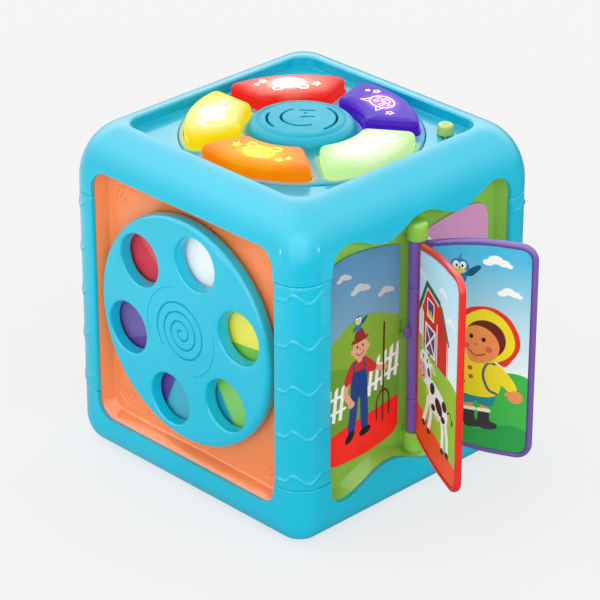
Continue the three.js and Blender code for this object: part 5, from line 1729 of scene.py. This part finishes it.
def dress_cad_nodes(blue):
    steel = metal("plated_steel", rgb(190, 194, 200))
    dress(steel, *(f"base_screw_{end}_{hand}" for end in ("front", "back") for hand in ("left", "right")))
    dress(steel, "battery_door_screw", "wheel_washer", "wheel_screw", "page_pin", "door_pin")
    dress(metal("nickel", rgb(206, 202, 190), 0.22), "battery_contact_front", "battery_contact_back")
    dress(battery_wrap("cell_sleeve"), "battery_1", "battery_2", "battery_3")
    dress(circuit_board("lacquered_board"), "main_board")
    dress(moulded("silicone", rgb(222, 226, 228), 0.5, 0.08, 0.0, 0.1), "key_membrane")
    lamp = moulded("clear_lamp", rgb(244, 246, 240), 0.08, 0.01, 0.6, 0.05)
    dress(lamp, *(f"led_{name}" for name in KEY_NAMES))
    dress(moulded("speaker_paper", rgb(40, 40, 44), 0.7, 0.4, 0.0, 0.1), "speaker")
    dress(moulded("switch_case", rgb(30, 30, 34), 0.45, 0.1, 0.0), "switch_body")
    dress(moulded("bin_plastic", rgb(232, 232, 226), 0.42, 0.08, 0.05), "block_bin")
    dress(moulded("red_wire", rgb(206, 34, 30), 0.4, 0.06, 0.1), "battery_cable")
    dress(moulded("black_wire", rgb(30, 30, 32), 0.4, 0.06, 0.1), "speaker_cable")
    dress(blue, "battery_door")


# ---------------------------------------------------------------- studio
LEFTWARD = (-0.71, -0.71, 0.0)  # to the left as the camera sees it
UPWARD = (0.0, 0.0, 1.0)
SPARKLE_TARGET = (0.0, 0.0, 0.18)
SPARKLE_SIZE = 0.05
SPARKLE_POWER = 0.4


def sparkle_lamp(name, place):
    """A small lamp whose reflection makes the bright spots on the edges."""
    light = bpy.data.lights.new(name, "AREA")
    light.shape = "DISK"
    light.size = SPARKLE_SIZE
    light.energy = SPARKLE_POWER
    made = placed(name, light)
    made.location = place
    made.rotation_euler = (Vector(SPARKLE_TARGET) - Vector(place)).to_track_quat("-Z", "Y").to_euler()


def far_light(name, power, origin, width, shine):
    """Parallel light from a direction, width degrees across, with a share of shine in reflections."""
    light = bpy.data.lights.new(name, "SUN")
    light.energy = power
    light.angle = math.radians(width)
    light.specular_factor = shine
    placed(name, light).rotation_euler = (-Vector(origin)).to_track_quat("-Z", "Y").to_euler()


def paper_floor():
    """Pale paper. Reflections show it bright on the left of the cube and dark on the right, as if draped."""
    shape = Moulding()
    reach = 3000.0
    shape.bm.faces.new(shape.loop(0.0, [(-reach, -reach), (reach, -reach), (reach, reach), (-reach, reach)]))
    mesh = bpy.data.meshes.new("floor")
    shape.bm.to_mesh(mesh)
    mesh.transform(WHOLE)
    paper = Nodes("backdrop_paper")
    pale = paper.mix(paper.uneven(4.0, 0.3, 0.7, 0.0, 1.0), grey(FLOOR), grey(FLOOR * 1.01))
    place = paper.add("ShaderNodeTexCoord")
    leftward = paper.add("ShaderNodeVectorMath", operation="DOT_PRODUCT")
    leftward.inputs[1].default_value = LEFTWARD
    paper.link(place.outputs["Object"], leftward.inputs[0])
    drape = paper.remap(leftward.outputs["Value"], 0.0, 0.35, 0.0, 0.85)
    rays = paper.add("ShaderNodeLightPath")
    plain = paper.mix(rays.outputs["Is Camera Ray"], pale, grey(FLOOR * 0.3))
    paper.put("Base Color", paper.mix(rays.outputs["Is Glossy Ray"], plain, drape))
    paper.put("Roughness", 0.95)
    paper.put("Specular IOR Level", 0.0)
    paper.put("Emission Color", grey(1.0))
    seen = paper.remap(rays.outputs["Is Camera Ray"], 0.0, 1.0, 0.12, 0.66)
    paper.put("Emission Strength", seen)
    mesh.materials.append(paper.material)
    placed("floor", mesh)


def softbox_world():
    """White light, stronger from below than from above. Reflections show a dome instead, brightest on the
    left and dark at the horizon."""
    world = bpy.data.worlds.new("studio")
    world.use_nodes = True
    nodes = world.node_tree.nodes
    links = world.node_tree.links
    place = nodes.new("ShaderNodeTexCoord")

    def ramp(direction, low, high, out_low, out_high):
        toward = nodes.new("ShaderNodeVectorMath")
        toward.operation = "DOT_PRODUCT"
        toward.inputs[1].default_value = direction
        links.new(place.outputs["Generated"], toward.inputs[0])
        scale = nodes.new("ShaderNodeMapRange")
        for key, value in (("From Min", low), ("From Max", high), ("To Min", out_low), ("To Max", out_high)):
            scale.inputs[key].default_value = value
        links.new(toward.outputs["Value"], scale.inputs["Value"])
        return scale.outputs["Result"]
    dome = nodes.new("ShaderNodeMath")
    dome.operation = "MULTIPLY"
    links.new(ramp(UPWARD, -0.05, 0.45, 0.15, 1.0), dome.inputs[0])
    links.new(ramp(LEFTWARD, -0.8, 0.8, DOME_RIGHT, DOME_LEFT), dome.inputs[1])
    light = ramp(UPWARD, -1.0, 1.0, WORLD_LOW, WORLD_HIGH)
    rays = nodes.new("ShaderNodeLightPath")
    both = nodes.new("ShaderNodeMix")
    links.new(rays.outputs["Is Glossy Ray"], both.inputs["Factor"])
    links.new(light, both.inputs["A"])
    links.new(dome.outputs["Value"], both.inputs["B"])
    links.new(both.outputs["Result"], nodes["Background"].inputs["Strength"])
    nodes["Background"].inputs["Color"].default_value = grey(1.0)
    bpy.context.scene.world = world


def studio():
    scene = bpy.context.scene
    paper_floor()
    softbox_world()
    far_light("sun", SUN, (-0.35, -0.3, 1.0), 50, 0.3)
    far_light("fill", FILL, (0.64, -0.72, 0.22), 70, 0.0)
    sparkle_lamp("sparkle_left", (-0.42, -1.05, 0.16))
    sparkle_lamp("sparkle_right", (1.05, 0.4, 0.22))
    scene.view_settings.view_transform = "Standard"
    scene.view_settings.look = "None"


FLOOR = 0.85
SUN = 0.25
FILL = 0.95
WORLD_LOW, WORLD_HIGH = 1.3, 0.76
DOME_RIGHT, DOME_LEFT = 2.6, 3.6
AZIMUTH = math.radians(45.59)
ELEVATION = math.radians(27.33)
DISTANCE = 1.8877
AIM_HEIGHT = 0.1073
SHIFT_UP, SHIFT_RIGHT = -0.0108, -0.0011
LENS = 185.2


def camera():
    data = bpy.data.cameras.new("camera")
    data.lens = LENS
    data.sensor_width = 36.0
    data.clip_end = 20.0
    made = placed("camera", data)
    away = Vector((math.sin(AZIMUTH) * math.cos(ELEVATION), -math.cos(AZIMUTH) * math.cos(ELEVATION),
                   math.sin(ELEVATION)))
    turn = (-away).to_track_quat("-Z", "Y")
    up, right = turn @ Vector((0, 1, 0)), turn @ Vector((1, 0, 0))
    made.rotation_euler = turn.to_euler()
    made.location = Vector((0, 0, AIM_HEIGHT)) + away * DISTANCE + up * SHIFT_UP + right * SHIFT_RIGHT
    bpy.context.scene.camera = made


# ---------------------------------------------------------------- the cube
def build():
    blue = moulded("blue_plastic", BLUE, spill=True)
    orange = moulded("orange_plastic", ORANGE)
    green = moulded("green_plastic", GREEN)
    purple = moulded("purple_plastic", PURPLE)
    red = moulded("red_plastic", RED)
    yellow = moulded("yellow_plastic", YELLOW)
    print_film = printed("laminated_print")

    top_cover(blue)
    base_cover(blue)
    corner_post("corner_post_front_left", -1, -1, 78, 78, blue)
    corner_post("corner_post_back_left", -1, 1, 78, 78, blue)
    corner_post("corner_post_front_right", 1, -1, 78, -WAVE_LEFT, blue)
    corner_post("corner_post_back_right", 1, 1, 78, WAVE_RIGHT, blue)
    # painted shade: the key deck gets the cover blue, darkened
    key_deck(moulded("deck_plastic_painted_shade", scaled(BLUE, DECK_PAINTED_SHADE), 0.45, coat=0.12, spill=True))
    for i, name in enumerate(KEY_NAMES):
        turn = TAU * i / len(KEY_NAMES)
        key(name, turn, lit_plastic(f"lit_{name}", turn, KEY_LIGHT[name], KEY_STRENGTH))
    key_icons()
    switch_knob(moulded("pale_green_plastic", rgb(186, 212, 112)))

    wheel_panel(orange)
    wheel(blue)
    colour_disc(print_film)

    book_panel(green)
    book_pictures(print_film)
    purple_page(purple)
    red_page(red)
    page_sleeve(purple)

    sorting_panel(yellow)
    for name, material in (("block_round", red), ("block_square", purple), ("block_triangle", green)):
        block(name, material)
    door_panel(purple)
    block_door(orange)

    dress_cad_nodes(blue)
    studio()
    camera()


build()
